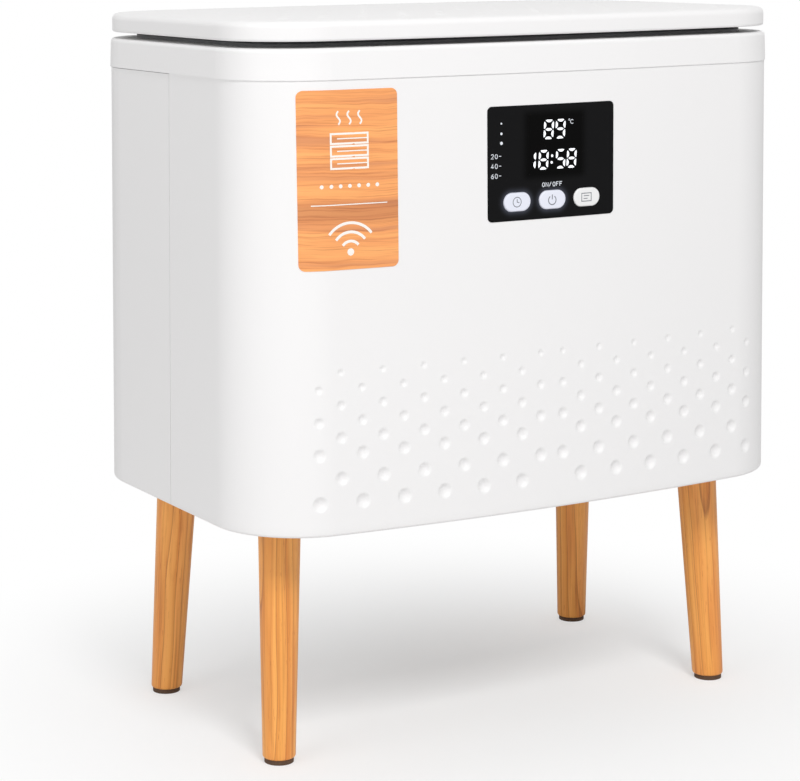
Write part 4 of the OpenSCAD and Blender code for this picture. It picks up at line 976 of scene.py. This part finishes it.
def floor():
    """A wide white plane: matte near the bin, where it takes real shadow and a painted shade patch, and
    plain white to the camera further off.
    """
    corners = [(sx * FLOOR_HALF, sy * FLOOR_HALF, 0) for sx, sy in rectangle(-1, -1, 1, 1)]
    mesh = bpy.data.meshes.new("floor")
    mesh.from_pydata(corners, [], [(0, 1, 2, 3)])
    material = bpy.data.materials.new("floor_white_painted_shade")
    tree = bare_tree(material)
    matte = add(tree, "BsdfDiffuse", {"Color": linear("#F4F4F4")})
    white = add(tree, "Emission", {"Color": (1, 1, 1, 1), "Strength": 1.0})
    off = add(tree, "VectorMath", {0: add(tree, "TexCoord").outputs["Object"], 1: SHADE_PATCH_MIDDLE},
              operation="SUBTRACT").outputs[0]
    far = add(tree, "VectorMath", {0: off}, operation="LENGTH").outputs["Value"]
    # Painted shade: near the patch's middle less plain white is mixed in, so the floor there shows grey even
    # where no shadow falls
    fade = add(tree, "MapRange", {"Value": far, "From Min": 0.0, "From Max": SHADE_PATCH_RADIUS,
                                  "To Min": SHADE_PATCH_LEAST, "To Max": 1.0}, interpolation_type="SMOOTHSTEP")
    share = add(tree, "Math", {0: camera_ray(tree, ["Is Camera Ray"]), 1: fade.outputs[0]},
                operation="MULTIPLY")
    mix = add(tree, "MixShader", {0: share.outputs[0], 1: matte.outputs[0], 2: white.outputs[0]})
    add(tree, "OutputMaterial", {0: mix.outputs[0]})
    mesh.materials.append(material)
    plane = stand("floor", mesh)


def placed(right, up, back, spot):
    """The placement at a spot whose own axes point right, up and back."""
    turned = np.eye(4)
    turned[:3, :3] = np.stack([right, up, back], -1)
    turned[:3, 3] = spot
    return Matrix(turned.tolist())


def lamp(name, spot, aim, size, power):
    """A square soft lamp at a spot, turned to what it lights."""
    data = bpy.data.lights.new(name, "AREA")
    data.shape, data.size, data.energy = "SQUARE", size, power
    light = stand(name, data)
    spot, aim = np.array(spot, float), np.array(aim, float)
    back = (spot - aim) / np.linalg.norm(spot - aim)
    right = np.cross((0, 0, 1), back)
    right /= np.linalg.norm(right)
    light.matrix_world = placed(right, np.cross(back, right), back, spot)


def room_light(seen, given):
    """A white room that shows with one strength and lights matte surfaces with another."""
    world = bpy.data.worlds.new("studio")
    bpy.context.scene.world = world
    tree = bare_tree(world)
    shown = add(tree, "Background", {"Color": (1, 1, 1, 1), "Strength": seen})
    lit_by = add(tree, "Background", {"Color": (1, 1, 1, 1), "Strength": given})
    kinds = ["Is Camera Ray", "Is Glossy Ray", "Is Transmission Ray"]
    mix = add(tree, "MixShader", {0: camera_ray(tree, kinds), 1: lit_by.outputs[0], 2: shown.outputs[0]})
    add(tree, "OutputWorld", {0: mix.outputs[0]})


floor()
lamp("key_lamp", (-0.45, -2.0, 2.35), LAMPS_AIM, size=0.8, power=45)
lamp("fill_lamp", (-2.4, -0.5, 1.2), LAMPS_AIM, size=1.6, power=13)
room_light(seen=1.0, given=0.44)
bpy.context.scene.view_settings.view_transform = "Standard"
print("studio ready")

# %% [markdown]
# ## Camera
# The camera stands before the bin to the left, a little higher than its lid, and looks down on it, as
# in the photograph. Its place, direction and lens come from fitting the case's edges and the four feet.
# %% Camera
CAMERA_AT = (-0.84171, -1.34917, 0.51638)
YAW, PITCH, ROLL = 0.50158, 0.16579, -0.00889
SENSOR, LENS, SHIFT = 36, 107.007, (0.12, -0.08)


def camera():
    """Looks along yaw and pitch, then rolls; the frame is shifted a little, as in a cropped picture."""
    forward = np.array([math.sin(YAW) * math.cos(PITCH), math.cos(YAW) * math.cos(PITCH), -math.sin(PITCH)])
    right = np.array([math.cos(YAW), -math.sin(YAW), 0])
    up = np.cross(right, forward)
    cosine, sine = math.cos(ROLL), math.sin(ROLL)
    data = bpy.data.cameras.new("camera")
    data.sensor_width, data.lens = SENSOR, LENS
    data.shift_x, data.shift_y = SHIFT
    data.clip_start, data.clip_end = 0.05, 50
    view = stand("camera", data)
    view.matrix_world = placed(cosine * right + sine * up, cosine * up - sine * right, -forward, CAMERA_AT)
    bpy.context.scene.camera = view


camera()
bpy.context.view_layer.update()
